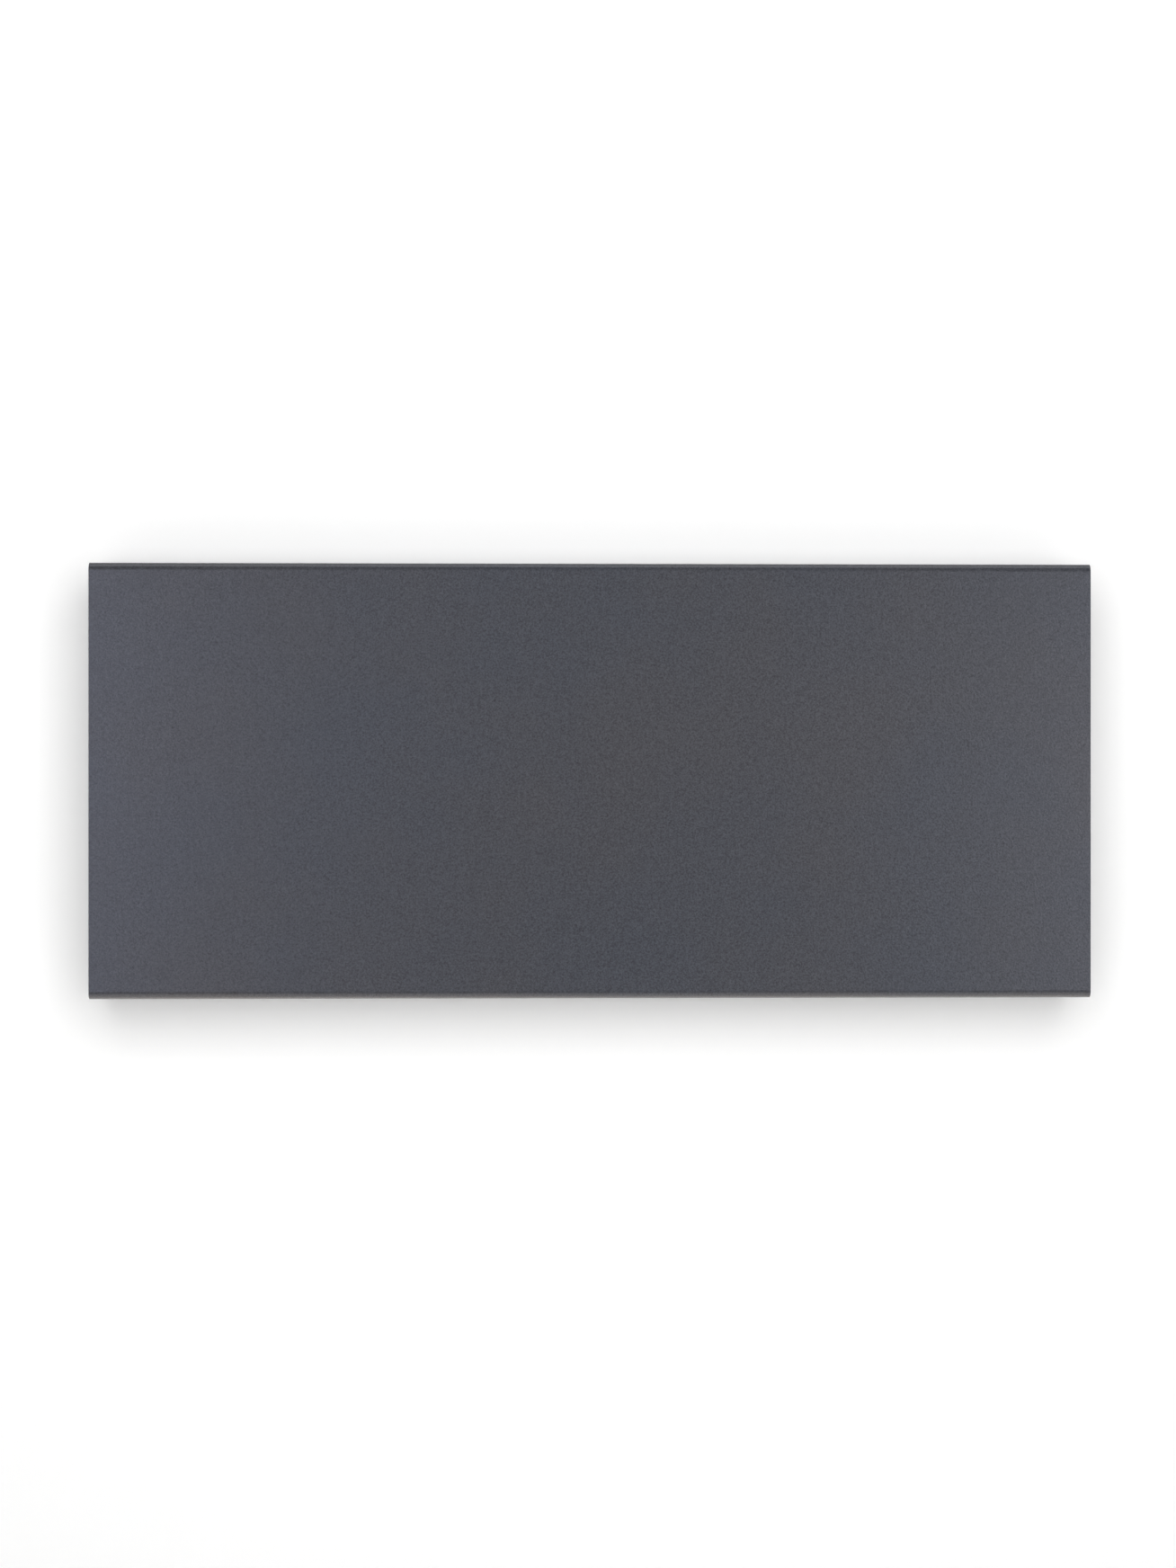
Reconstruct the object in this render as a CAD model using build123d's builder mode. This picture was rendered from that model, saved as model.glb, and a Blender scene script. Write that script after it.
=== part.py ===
from build123d import *

import os

# Wall-hung electric panel radiator, in millimetres.
# X runs along the radiator and +Z is up. The wall is the plane Y = 0 and the front panel faces -Y.
# The origin is the middle of the wall bracket's four screw slots, on the wall.

# Front panel: one steel sheet with a wide face, a top flange with a hanging lip and a bottom flange
panel_width = 852.0
panel_height = 370.0
front_to_wall = 86.0
panel_sheet = 1.0
panel_bend = 7.0
top_flange = 28.0
hanging_lip = 8.0
lip_bend = 1.6
bottom_flange = 26.0
panel_edge_round = 0.35
panel_screw_spread = 300.0

# Rear casing: a folded steel pan with the air slots, the hanging groove and the bracket slots
wall_gap = 22.0
casing_sheet = 0.8
casing_depth = 55.6
casing_bend = 3.0
casing_lip = 9.7
small_bend = 1.6
groove_bend = 1.0
groove_width = 3.4
groove_depth = 11.0
deck_drop = 2.0
sheet_gap = 0.3
slot_width = 3.2
slot_pitch = 6.6
slots_in_group = 11
slot_group_pitch = 77.0
outlet_slot_length = 23.0
inlet_slot_length = 27.0

# End caps
cap_recess = 3.0
cap_thickness = 2.5
cap_corner = 5.7
cap_edge = 0.5
soft_edge = 0.8
cap_tongue_depth = 10.0
cap_tongue_inset = 20.0
cap_tongue_thickness = 1.8
cap_bottom_tongue = 36.0
cap_rib_pitch = 90.0
cap_rib_length = 55.0
cap_boss_width = 12.0
cap_boss_depth = 14.0
cap_boss_inset = 45.0

# Wall bracket, its hooks and its turn locks
bracket_sheet = 1.5
bracket_bend = 2.5
leg_pitch = 460.0
leg_width = 34.0
leg_above_hook = 11.0
leg_below_lock = 17.0
leg_flange = 14.0
leg_flange_above_lock = 43.0
wall_slot_pitch = 200.0
wall_slot_width = 5.5
wall_slot_length = 12.0
crossbar_height = 40.0
crossbar_middle = 45.0
crossbar_flange = 8.0
crossbar_overlap = 28.0
crossbar_rivet_pitch = 20.0
hook_below_top = 44.0
hook_width = 20.0
hook_window = 24.0
hook_arm_rise = 1.0
hook_mouth = 4.3
hook_lean = 30.0
finger_straight = 7.0
finger_flare = 1.5
finger_tip = 2.6
seat_radius = 3.2
shoe_nose = 3.0
shoe_width = 24.0
shoe_height = 8.0
shoe_slit = 0.9
hook_slot_width = 26.0
hook_slot_height = 17.0
bumper_above_lock = 31.0
bumper_radius = 8.0
lock_above_bottom = 30.0
lock_boss_radius = 9.0
lock_boss_gap = 2.0
lock_lever_root = 15.0
lock_lever_slope = 80.0
lock_head_round = 1.5
lock_lever_length = 24.0
lock_lever_end = 4.5
lock_lever_thickness = 8.0
lock_stud_radius = 3.0
lock_stud_length = 14.0
lock_neck_radius = 3.3
lock_head_width = 6.6
lock_head_length = 19.0
lock_head_thickness = 3.2
lock_grip = 0.6
lock_slot_play = 0.6
running_play = 0.05

# Chimney of two side plates and two heat shields round the element
left_bay = 34.0
right_bay = 126.0
plate_sheet = 1.0
plate_bend = 1.6
plate_inset = 35.0
plate_flange = 13.0
chimney_front = 75.0
shield_sheet = 0.5
shield_overhang = 5.0
shield_bend = 4.0
deflector_depth = 12.0
deflector_height = 18.0
rear_shield_to_wall = 36.0
rear_shield_rise = 20.0
rear_shield_flange = 9.0
rivet_radius = 1.6
rivet_head = 2.9
rivet_head_height = 1.1
rivet_tail = 2.4
rivet_tail_height = 0.9
rivet_inset = 30.0
side_rivet_inset = 50.0

# Heating element: a finned aluminium extrusion on a sheathed rod, held in ceramic bushes
element_to_wall = 55.5
element_above_plate = 45.0
element_core = 7.0
element_bore = 4.2
element_end_gap = 14.0
sheath_radius = 4.1
sheath_overhang = 18.0
arm_length = 34.0
arm_thickness = 1.6
arm_angle = 62.0
first_fin = 14.0
fin_spacing = 8.0
fin_count = 3
fin_length = 8.0
fin_thickness = 1.2
bush_radius = 8.0
bush_length = 5.0
bush_flange = 10.5
bush_flange_thickness = 3.0
end_seal_radius = 9.5
end_seal_gap = 8.0
end_seal_wall = 4.0

# Thermal cut-out on the right side plate
cutout_above_element = 43.0
cutout_cap_radius = 7.8
cutout_cap_depth = 3.0
cutout_ear_length = 34.0
cutout_ear_width = 12.0
cutout_rivet_pitch = 26.0
cutout_body_radius = 9.5
cutout_body_depth = 7.5

# Spade tabs, the sleeves pushed over them and the leads
tab_width = 6.3
tab_thickness = 0.8
tab_length = 8.0
tab_pitch = 10.0
sleeve_length = 18.0
sleeve_wall = 0.85
sleeve_play = 0.2
sleeve_round = 1.0
lead_diameter = 2.4
sensor_lead_diameter = 2.0
live_run_inset = 3.0
neutral_run_inset = 1.0
element_run = 50.0
front_run = 29.6
live_run_rise = 14.0
neutral_run_rise = 20.0
switched_rise = 22.0
return_rise = 33.0
element_rise = 26.0
sensor_rise = 30.0
lead_bend = 6.0
tight_bend = 5.0
close_bend = 4.0
slow_bend = 8.0
sensor_bend = 20.0

# Controls at the right-hand end of the top
controls_inset = 53.0
controls_to_wall = 39.0
fascia_length = 88.0
fascia_width = 29.0
fascia_corner = 3.0
fascia_thickness = 1.2
tray_length = 83.4
tray_width = 26.4
tray_depth = 22.7
tray_wall = 1.6
tray_corner = 2.0
snap_length = 8.0
snap_reach = 0.8
snap_height = 2.5
snap_pitch = 50.0
post_radius = 2.2
post_pin = 1.1
post_pitch_x = 71.0
post_pitch_y = 15.0
post_pin_proud = 0.8
window_offset = -25.0
window_length = 30.0
window_width = 13.0
window_thickness = 0.8
window_ledge = 1.5
button_radius = 3.6
button_hole_play = 0.2
button_proud = 1.0
button_flange = 0.9
button_flange_thickness = 0.8
button_pitch = 11.5
first_button_offset = -2.0
stem_radius = 1.6
stem_into_well = 0.6
light_radius = 1.0
light_offset = 37.0
light_spacing = 12.0
board_thickness = 1.6
display_board_drop = 9.7
display_board_length = 78.0
display_board_width = 21.0
led_length = 28.0
led_width = 11.0
tact_size = 6.0
tact_height = 3.5
tact_well_radius = 1.9
tact_well = 1.5
radio_length = 16.0
radio_width = 18.0
radio_thickness = 3.0
radio_offset = -22.0
ribbon_width = 12.0
ribbon_thickness = 1.0
ribbon_to_wall = 41.0
ribbon_bottom = 50.0
ribbon_opening_length = 14.0
ribbon_opening_width = 5.0

# Power board in the electronics bay
power_board_gap = 18.0
power_board_width = 86.0
power_board_bottom = -45.0
power_board_height = 100.0
board_hole_margin = 6.0
standoff_length = 12.0
standoff_radius = 3.0
board_screw_radius = 1.4
board_screw_head = 2.6
board_screw_height = 1.6
board_screw_length = 5.5
relay_size = (20.0, 16.0, 16.0)
relay_place = (64.0, 75.0)
converter_size = (34.0, 21.0, 15.0)
converter_place = (22.0, 75.0)
round_capacitor_radius = 5.0
round_capacitor_height = 12.0
round_capacitor_place = (57.0, 47.0)
ribbon_socket_size = (16.0, 8.0, 7.0)
sensor_socket_size = (10.0, 8.0, 7.0)
sensor_socket_place = (70.0, 6.0)
board_tab_place = (29.0, 7.0)
component_edge = 0.4

# Mains entry, room sensor and rocker switch
gland_offset = 45.0
entry_to_wall = 42.0
gland_bore = 3.8
gland_radius = 8.0
gland_flange = 11.0
gland_flange_thickness = 1.2
gland_length = 14.0
gland_nut_across_corners = 24.0
gland_nut_thickness = 5.0
block_length = 30.0
block_height = 18.0
block_depth = 18.0
block_above_bottom = 45.0
block_well = 5.0
block_lead_depth = 12.6
block_pole_pitch = 14.0
block_screw_radius = 2.4
sensor_inset = 31.0
sensor_radius = 2.5
sensor_length = 15.0
sensor_collar = 3.5
holder_radius = 5.2
holder_flange = 6.6
holder_snap = 5.8
holder_length = 6.0
switch_above_bottom = 45.0
switch_to_wall = 54.0
switch_body_length = 19.0
switch_body_width = 12.7
switch_body_depth = 19.0
switch_snap = 0.6
bezel_length = 21.0
bezel_width = 15.0
bezel_thickness = 1.6
bezel_corner = 1.5
bezel_edge = 0.6
rocker_opening_length = 17.2
rocker_opening_width = 10.4
rocker_well = 9.4
rocker_width = 10.0
rocker_pivot_depth = 2.8
rocker_profile = ((-3.0, -6.6), (3.6, -7.9), (2.2, 0.0), (3.6, 7.9), (-3.0, 6.6))
rocker_rest = -10.0
rocker_corner = 0.5
rocker_pin_radius = 1.2
rocker_pin_length = 0.9
switch_tab_pitch_y = 9.0
switch_tab_pitch_z = 11.0

# Thread-forming screws
screw_radius = 1.7
screw_head_radius = 3.4
screw_head_height = 2.2
screw_length = 9.0
screw_recess = 1.2
recess_span = 1.1
recess_slit = 0.24
sunk_head_radius = 3.2
sunk_head_depth = 1.25
sunk_recess_length = 3.6
sunk_recess_width = 0.8
sunk_recess_depth = 0.9
sunk_play = 0.1
screw_hole_play = 0.2

# Places worked out from the sizes above
panel_top = panel_height / 2
panel_front = -front_to_wall
panel_inside = panel_front + panel_sheet
lip_back = panel_front + top_flange
casing_back = -wall_gap
casing_inside = casing_back - casing_sheet
casing_front = casing_back - casing_depth
casing_top = panel_top - panel_sheet - sheet_gap
deck_top = casing_top - deck_drop
groove_front = lip_back - panel_sheet - sheet_gap
groove_rear = groove_front + groove_width
groove_floor = casing_top - groove_depth
cap_outside = panel_width / 2 - cap_recess
cap_inside = cap_outside - cap_thickness
casing_end = cap_inside - sheet_gap
cap_front = panel_inside + sheet_gap
cap_tongue_back = casing_inside - sheet_gap
cap_tongue_height = panel_height - 2 * cap_tongue_inset
cap_boss_height = panel_top - cap_boss_inset
leg_x = leg_pitch / 2
hook_height = panel_top - hook_below_top
hook_seat = -wall_gap - casing_sheet / 2
lock_height = lock_above_bottom - panel_top
bumper_height = lock_height + bumper_above_lock
leg_bottom = lock_height - leg_below_lock
leg_length = hook_height + leg_above_hook - leg_bottom
chimney_left = left_bay - panel_width / 2
chimney_right = panel_width / 2 - right_bay
chimney_length = chimney_right - chimney_left
chimney_middle = (chimney_left + chimney_right) / 2
plate_height = panel_height - 2 * plate_inset
rear_shield_height = plate_height - rear_shield_rise
slot_group_gap = slot_group_pitch - (slots_in_group - 1) * slot_pitch - slot_width
slot_groups = int((chimney_length + slot_group_gap) // slot_group_pitch)
element_y = -element_to_wall
element_z = element_above_plate - plate_height / 2
cutout_z = element_z + cutout_above_element
controls_middle = panel_width / 2 - controls_inset
controls_y = -controls_to_wall
window_x = controls_middle + window_offset
light_x = controls_middle + light_offset
radio_x = controls_middle + radio_offset
power_board_left = chimney_right + power_board_gap
gland_x = chimney_right + gland_offset
block_bottom = block_above_bottom - panel_top
sensor_x = panel_width / 2 - sensor_inset
switch_height = switch_above_bottom - panel_top
fascia_top = deck_top + fascia_thickness
display_board_top = deck_top - display_board_drop
tray_floor = deck_top - tray_depth + tray_wall
button_x = [controls_middle + first_button_offset + n * button_pitch for n in range(4)]
stem_bottom = display_board_top + tact_height - stem_into_well
standoff_front = casing_inside - standoff_length
board_front = standoff_front - board_thickness
end_screw_x = cap_inside - cap_boss_depth / 2
outlet_middle = (groove_rear + casing_back) / 2
inlet_middle = casing_inside - inlet_slot_length / 2 - casing_bend * 2
panel_screw_y = (casing_front + panel_front + bottom_flange) / 2
end_seal_start = chimney_right + end_seal_gap
end_seal_end = chimney_right + sheath_overhang + end_seal_wall
cutout_back = chimney_right + plate_sheet + shield_sheet + cutout_body_depth
switch_back = cap_outside - switch_body_depth
rivet_heights = [n * (plate_height / 2 - rivet_inset) for n in (-1, 0, 1)]
side_rivet_rise = rear_shield_height / 2 - side_rivet_inset
side_rivet_heights = [rear_shield_rise / 2 + n * side_rivet_rise for n in (-1, 1)]
cutout_rivet_heights = [cutout_z + n * cutout_rivet_pitch / 2 for n in (-1, 1)]
flange_middle = (plate_sheet + plate_flange) / 2
flange_rivet_x = (chimney_left - flange_middle, chimney_right + flange_middle)
rear_shield_rivet_y = -rear_shield_to_wall - rear_shield_flange / 2 - shield_sheet
sunk_neck_radius = sunk_head_radius - panel_sheet * (sunk_head_radius - screw_radius) / sunk_head_depth
panel_screw_points = [(n * panel_screw_spread, panel_screw_y) for n in (-1, 0, 1)]
end_screw_points = [(s * end_screw_x, z) for s in (-1, 1) for z in (-cap_boss_height, cap_boss_height)]
flange_rivet_points = [(x, z) for x in flange_rivet_x for z in rivet_heights]
standoff_points = [
    (power_board_left + x, power_board_bottom + z)
    for x in (board_hole_margin, power_board_width - board_hole_margin)
    for z in (board_hole_margin, power_board_height - board_hole_margin)
]
board_tab_x = [power_board_left + board_tab_place[0] + n * tab_pitch for n in range(4)]
board_tab_height = power_board_bottom + board_tab_place[1]
sensor_socket_x = power_board_left + sensor_socket_place[0]
sensor_socket_z = power_board_bottom + sensor_socket_place[1]
front_run_y = board_front - front_run


def face_at(y):
    """The upright plane at that Y: its sketches read X and Z, and it looks towards the front."""
    return Plane.XZ.offset(-y)


def save(piece, name):
    """Labels a finished piece and writes it under its own name."""
    piece.part.label = name
    export_step(piece.part, f"parts/{name}.step")


def fasteners(groups, shank, length, head, height, recess=0.0, tail=0.0, tail_height=0.0):
    """Screws or rivets: each group has a plane, the side of it that the heads stand on, and its points."""
    with BuildPart() as made:
        for plane, outward, points in groups:
            with BuildSketch(plane):
                with Locations(*points):
                    Circle(head)
            extrude(amount=outward * height)
            with BuildSketch(plane):
                with Locations(*points):
                    Circle(shank)
            extrude(amount=-outward * length)
            if recess:
                with BuildSketch(plane.offset(outward * height)):
                    with Locations(*points):
                        Rectangle(head * recess_span, head * recess_slit)
                        Rectangle(head * recess_slit, head * recess_span)
                extrude(amount=-outward * recess, mode=Mode.SUBTRACT)
            if tail:
                with BuildSketch(plane.offset(-outward * length)):
                    with Locations(*points):
                        Circle(tail)
                extrude(amount=-outward * tail_height)
    return made


def leads(routes, diameter):
    """Insulated leads, each along straight runs joined by arcs."""
    with BuildPart() as made:
        for points, radii in routes:
            with BuildLine():
                route = FilletPolyline(*points, radius=radii)
            with BuildSketch(Plane(origin=route @ 0, z_dir=route % 0)):
                Circle(diameter / 2)
            sweep()
    return made


def sleeve_end(tab):
    """Where the lead leaves the sleeve that is pushed over a tab."""
    root, outward = tab
    reach = sheet_gap + sleeve_length
    return tuple(r + reach * o for r, o in zip(root, outward))


os.makedirs("parts", exist_ok=True)

# Front panel
with BuildPart() as front_panel:
    with BuildSketch(Plane.YZ):
        with BuildLine():
            FilletPolyline(
                (lip_back, panel_top - hanging_lip),
                (lip_back, panel_top),
                (panel_front, panel_top),
                (panel_front, -panel_top),
                (panel_front + bottom_flange, -panel_top),
                radius=[lip_bend, panel_bend, panel_bend],
            )
            offset(amount=panel_sheet, side=Side.LEFT)
        make_face()
    extrude(amount=panel_width / 2, both=True)
    end_edges = front_panel.edges().group_by(Axis.X)
    fillet(end_edges[0] + end_edges[-1], panel_edge_round)
    # countersunk holes in the bottom flange for the screws that hold the panel down
    with Locations(*[(x, y, -panel_top) for x, y in panel_screw_points]):
        Cone(
            sunk_head_radius + sunk_play,
            sunk_neck_radius + sunk_play,
            panel_sheet,
            align=(Align.CENTER, Align.CENTER, Align.MIN),
            mode=Mode.SUBTRACT,
        )
save(front_panel, "front_panel")

# Rear casing
with BuildPart() as rear_casing:
    with BuildSketch(Plane.YZ):
        with BuildLine():
            FilletPolyline(
                (casing_front, casing_top - casing_lip),
                (casing_front, casing_top),
                (groove_front, casing_top),
                (groove_front, groove_floor),
                (groove_rear, groove_floor),
                (groove_rear, deck_top),
                (casing_back, deck_top),
                (casing_back, -casing_top),
                (casing_front, -casing_top),
                (casing_front, -casing_top + casing_lip),
                radius=[
                    small_bend,
                    small_bend,
                    groove_bend,
                    groove_bend,
                    small_bend,
                    casing_bend,
                    casing_bend,
                    small_bend,
                ],
            )
            offset(amount=casing_sheet, side=Side.RIGHT)
        make_face()
    extrude(amount=casing_end, both=True)
    # air outlet slots in the deck and inlet slots in the bottom, in groups with plain bridges between them
    for height, middle, length, inward in (
        (deck_top, outlet_middle, outlet_slot_length, -1),
        (-casing_top, inlet_middle, inlet_slot_length, 1),
    ):
        with BuildSketch(Plane.XY.offset(height)):
            with Locations((chimney_middle, middle)):
                with GridLocations(slot_group_pitch, 1, slot_groups, 1):
                    with GridLocations(slot_pitch, 1, slots_in_group, 1):
                        SlotOverall(length, slot_width, rotation=90)
        extrude(amount=inward * casing_sheet, mode=Mode.SUBTRACT)
    # opening for the control tray
    with BuildSketch(Plane.XY.offset(deck_top)):
        with Locations((controls_middle, controls_y)):
            Rectangle(tray_length + 2 * sheet_gap, tray_width + 2 * sheet_gap)
    extrude(amount=-casing_sheet, mode=Mode.SUBTRACT)
    # holes in the bottom for the panel screws, the cable gland and the room sensor's holder
    with BuildSketch(Plane.XY.offset(-casing_top)):
        with Locations(*panel_screw_points):
            Circle(screw_radius + running_play)
        with Locations((gland_x, -entry_to_wall)):
            Circle(gland_radius + screw_hole_play)
        with Locations((sensor_x, -entry_to_wall)):
            Circle(holder_radius + screw_hole_play)
    extrude(amount=casing_sheet, mode=Mode.SUBTRACT)
    # holes in the back for the bracket's hooks, the turn locks and every screw and rivet
    with BuildSketch(face_at(casing_back)):
        with Locations((0, hook_height + hook_arm_rise)):
            with GridLocations(leg_pitch, 1, 2, 1):
                Rectangle(hook_slot_width, hook_slot_height, align=(Align.CENTER, Align.MAX))
        with Locations((0, lock_height)):
            with GridLocations(leg_pitch, 1, 2, 1):
                Rectangle(lock_head_width + 2 * lock_slot_play, lock_head_length + 2 * lock_slot_play)
        with Locations(*end_screw_points):
            Circle(screw_radius + screw_hole_play)
        with Locations(*flange_rivet_points):
            Circle(rivet_radius + running_play)
        with Locations(*standoff_points, (gland_x, block_bottom + block_height / 2)):
            Circle(board_screw_radius + running_play)
    extrude(amount=casing_sheet, mode=Mode.SUBTRACT)
save(rear_casing, "rear_casing")

# End caps, which close the casing and fit inside the ends of the panel
for side, name in ((-1, "end_cap_left"), (1, "end_cap_right")):
    with BuildPart() as end_cap:
        with BuildSketch(Plane.YZ.offset(side * cap_inside)):
            with BuildLine():
                outline = FilletPolyline(
                    (cap_front, 0),
                    (cap_front, -casing_top),
                    (casing_back, -casing_top),
                    (casing_back, deck_top),
                    (groove_rear, deck_top),
                    (groove_rear, groove_floor),
                    (groove_front, groove_floor),
                    (groove_front, casing_top),
                    (cap_front, casing_top),
                    (cap_front, cap_rib_pitch),
                    radius=[cap_corner, casing_bend, casing_bend, *[groove_bend] * 4, cap_corner],
                )
                Line(outline @ 1, outline @ 0)
            make_face()
        extrude(amount=side * cap_thickness)
        outer_face = end_cap.faces().filter_by(Plane.YZ).sort_by(Axis.X)[0 if side < 0 else -1]
        chamfer(outer_face.outer_wire().edges(), cap_edge)
        # tongues behind the panel, inside the casing's back and above its bottom, and three stiffening ribs
        with BuildSketch(Plane.YZ.offset(side * cap_inside)):
            with Locations((cap_front, 0)):
                Rectangle(cap_tongue_thickness, cap_tongue_height, align=(Align.MIN, Align.CENTER))
            with Locations((cap_tongue_back, 0)):
                Rectangle(cap_tongue_thickness, cap_tongue_height, align=(Align.MAX, Align.CENTER))
            with Locations((-switch_to_wall, casing_sheet + sheet_gap - casing_top)):
                Rectangle(cap_bottom_tongue, cap_tongue_thickness, align=(Align.CENTER, Align.MIN))
            with Locations((-switch_to_wall, 0)):
                with GridLocations(1, cap_rib_pitch, 1, 3):
                    Rectangle(cap_rib_length, cap_tongue_thickness)
        extrude(amount=-side * cap_tongue_depth)
        # bosses for the screws that come through the casing's back
        with BuildSketch(Plane.YZ.offset(side * cap_inside)):
            with Locations((cap_tongue_back - cap_boss_width / 2, 0)):
                with GridLocations(1, 2 * cap_boss_height, 1, 2):
                    Rectangle(cap_boss_width, cap_boss_width)
        extrude(amount=-side * cap_boss_depth)
        with BuildSketch(face_at(cap_tongue_back)):
            with Locations((side * end_screw_x, 0)):
                with GridLocations(1, 2 * cap_boss_height, 1, 2):
                    Circle(screw_radius + running_play)
        extrude(amount=screw_length, mode=Mode.SUBTRACT)
        if side > 0:
            with BuildSketch(Plane.YZ.offset(cap_inside)):
                with Locations((-switch_to_wall, switch_height)):
                    Rectangle(switch_body_width + 2 * sheet_gap, switch_body_length + 2 * sheet_gap)
            extrude(amount=cap_thickness, mode=Mode.SUBTRACT)
    save(end_cap, name)

end_cap_screws = fasteners(
    [(face_at(casing_back), -1, end_screw_points)],
    screw_radius,
    screw_length,
    screw_head_radius,
    screw_head_height,
    screw_recess,
)
save(end_cap_screws, "end_cap_screws")

with BuildPart() as panel_screws:
    with Locations(*[(x, y, -panel_top) for x, y in panel_screw_points]):
        Cone(sunk_head_radius, screw_radius, sunk_head_depth, align=(Align.CENTER, Align.CENTER, Align.MIN))
        Cylinder(screw_radius, screw_length, align=(Align.CENTER, Align.CENTER, Align.MIN))
    with BuildSketch(Plane.XY.offset(-panel_top)):
        with Locations(*panel_screw_points):
            Rectangle(sunk_recess_length, sunk_recess_width)
            Rectangle(sunk_recess_width, sunk_recess_length)
    extrude(amount=sunk_recess_depth, mode=Mode.SUBTRACT)
save(panel_screws, "panel_screws")

# Wall bracket: two legs with hooks lanced out of them, joined by a crossbar
with BuildPart() as bracket_right_leg:
    with BuildSketch(Plane.XY.offset(leg_bottom)):
        with BuildLine():
            FilletPolyline(
                (leg_x - leg_width / 2, 0),
                (leg_x + leg_width / 2, 0),
                (leg_x + leg_width / 2, -leg_flange),
                radius=[bracket_bend],
            )
            offset(amount=bracket_sheet, side=Side.RIGHT)
        make_face()
    extrude(amount=leg_length)
    # the flange stops above the lock, where the leg is a flat strip
    with BuildSketch(face_at(0)):
        with Locations((leg_x + leg_width / 2, lock_height + leg_flange_above_lock)):
            Rectangle(2 * bracket_bend, leg_length, align=(Align.CENTER, Align.MAX))
    extrude(amount=leg_flange, mode=Mode.SUBTRACT)
    with BuildSketch(face_at(0)):
        with Locations((leg_x, 0)):
            with GridLocations(1, wall_slot_pitch, 1, 2):
                SlotOverall(wall_slot_length, wall_slot_width)
            with Locations((0, hook_height + hook_arm_rise - bracket_sheet)):
                Rectangle(hook_width, hook_window, align=(Align.CENTER, Align.MAX))
            with Locations((0, crossbar_middle)):
                with GridLocations(1, crossbar_rivet_pitch, 1, 2):
                    Circle(rivet_radius + running_play)
    extrude(amount=bracket_sheet, mode=Mode.SUBTRACT)
    with BuildSketch(Plane.YZ.offset(leg_x - hook_width / 2)):
        with BuildLine():
            seat = CenterArc((hook_seat, hook_height), seat_radius, -hook_lean, hook_lean - 180)
            Polyline(
                (-bracket_sheet / 2, hook_height + hook_arm_rise),
                (hook_seat + hook_mouth, hook_height + hook_arm_rise),
                seat @ 0,
            )
            Polyline(
                seat @ 1,
                (hook_seat - seat_radius, hook_height + finger_straight),
                (hook_seat - seat_radius - finger_flare, hook_height + finger_straight + finger_tip),
            )
            offset(amount=bracket_sheet, side=Side.LEFT)
        make_face()
    extrude(amount=hook_width)
save(bracket_right_leg, "bracket_right_leg")

with BuildPart() as bracket_left_leg:
    mirror(bracket_right_leg.part, about=Plane.YZ)
save(bracket_left_leg, "bracket_left_leg")

with BuildPart() as bracket_crossbar:
    with BuildSketch(Plane.YZ):
        with BuildLine():
            FilletPolyline(
                (-bracket_sheet - crossbar_flange, crossbar_middle - crossbar_height / 2),
                (-bracket_sheet, crossbar_middle - crossbar_height / 2),
                (-bracket_sheet, crossbar_middle + crossbar_height / 2),
                (-bracket_sheet - crossbar_flange, crossbar_middle + crossbar_height / 2),
                radius=[bracket_bend, bracket_bend],
            )
            offset(amount=bracket_sheet, side=Side.LEFT)
        make_face()
    extrude(amount=leg_x - leg_width / 2 + crossbar_overlap, both=True)
    with BuildSketch(face_at(-bracket_sheet)):
        with Locations((0, crossbar_middle)):
            with GridLocations(leg_pitch, crossbar_rivet_pitch, 2, 2):
                Circle(rivet_radius + running_play)
    extrude(amount=bracket_sheet, mode=Mode.SUBTRACT)
save(bracket_crossbar, "bracket_crossbar")

bracket_rivets = fasteners(
    [
        (
            face_at(-2 * bracket_sheet),
            1,
            [(s * leg_x, crossbar_middle + t * crossbar_rivet_pitch / 2) for s in (-1, 1) for t in (-1, 1)],
        )
    ],
    rivet_radius,
    2 * bracket_sheet,
    rivet_head,
    rivet_head_height,
)
save(bracket_rivets, "bracket_rivets")

with BuildPart() as wall_bumpers:
    with BuildSketch(face_at(-bracket_sheet)):
        with Locations((0, bumper_height)):
            with GridLocations(leg_pitch, 1, 2, 1):
                Circle(bumper_radius)
    extrude(amount=wall_gap - bracket_sheet - sheet_gap)
    chamfer(wall_bumpers.edges().group_by(Axis.Y)[0], soft_edge)
save(wall_bumpers, "wall_bumpers")

with BuildPart() as lock_studs:
    with BuildSketch(face_at(-bracket_sheet)):
        with Locations((0, lock_height)):
            with GridLocations(leg_pitch, 1, 2, 1):
                Circle(lock_stud_radius)
    extrude(amount=lock_stud_length)
    chamfer(lock_studs.edges().group_by(Axis.Y)[0], cap_edge)
save(lock_studs, "lock_studs")

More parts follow.
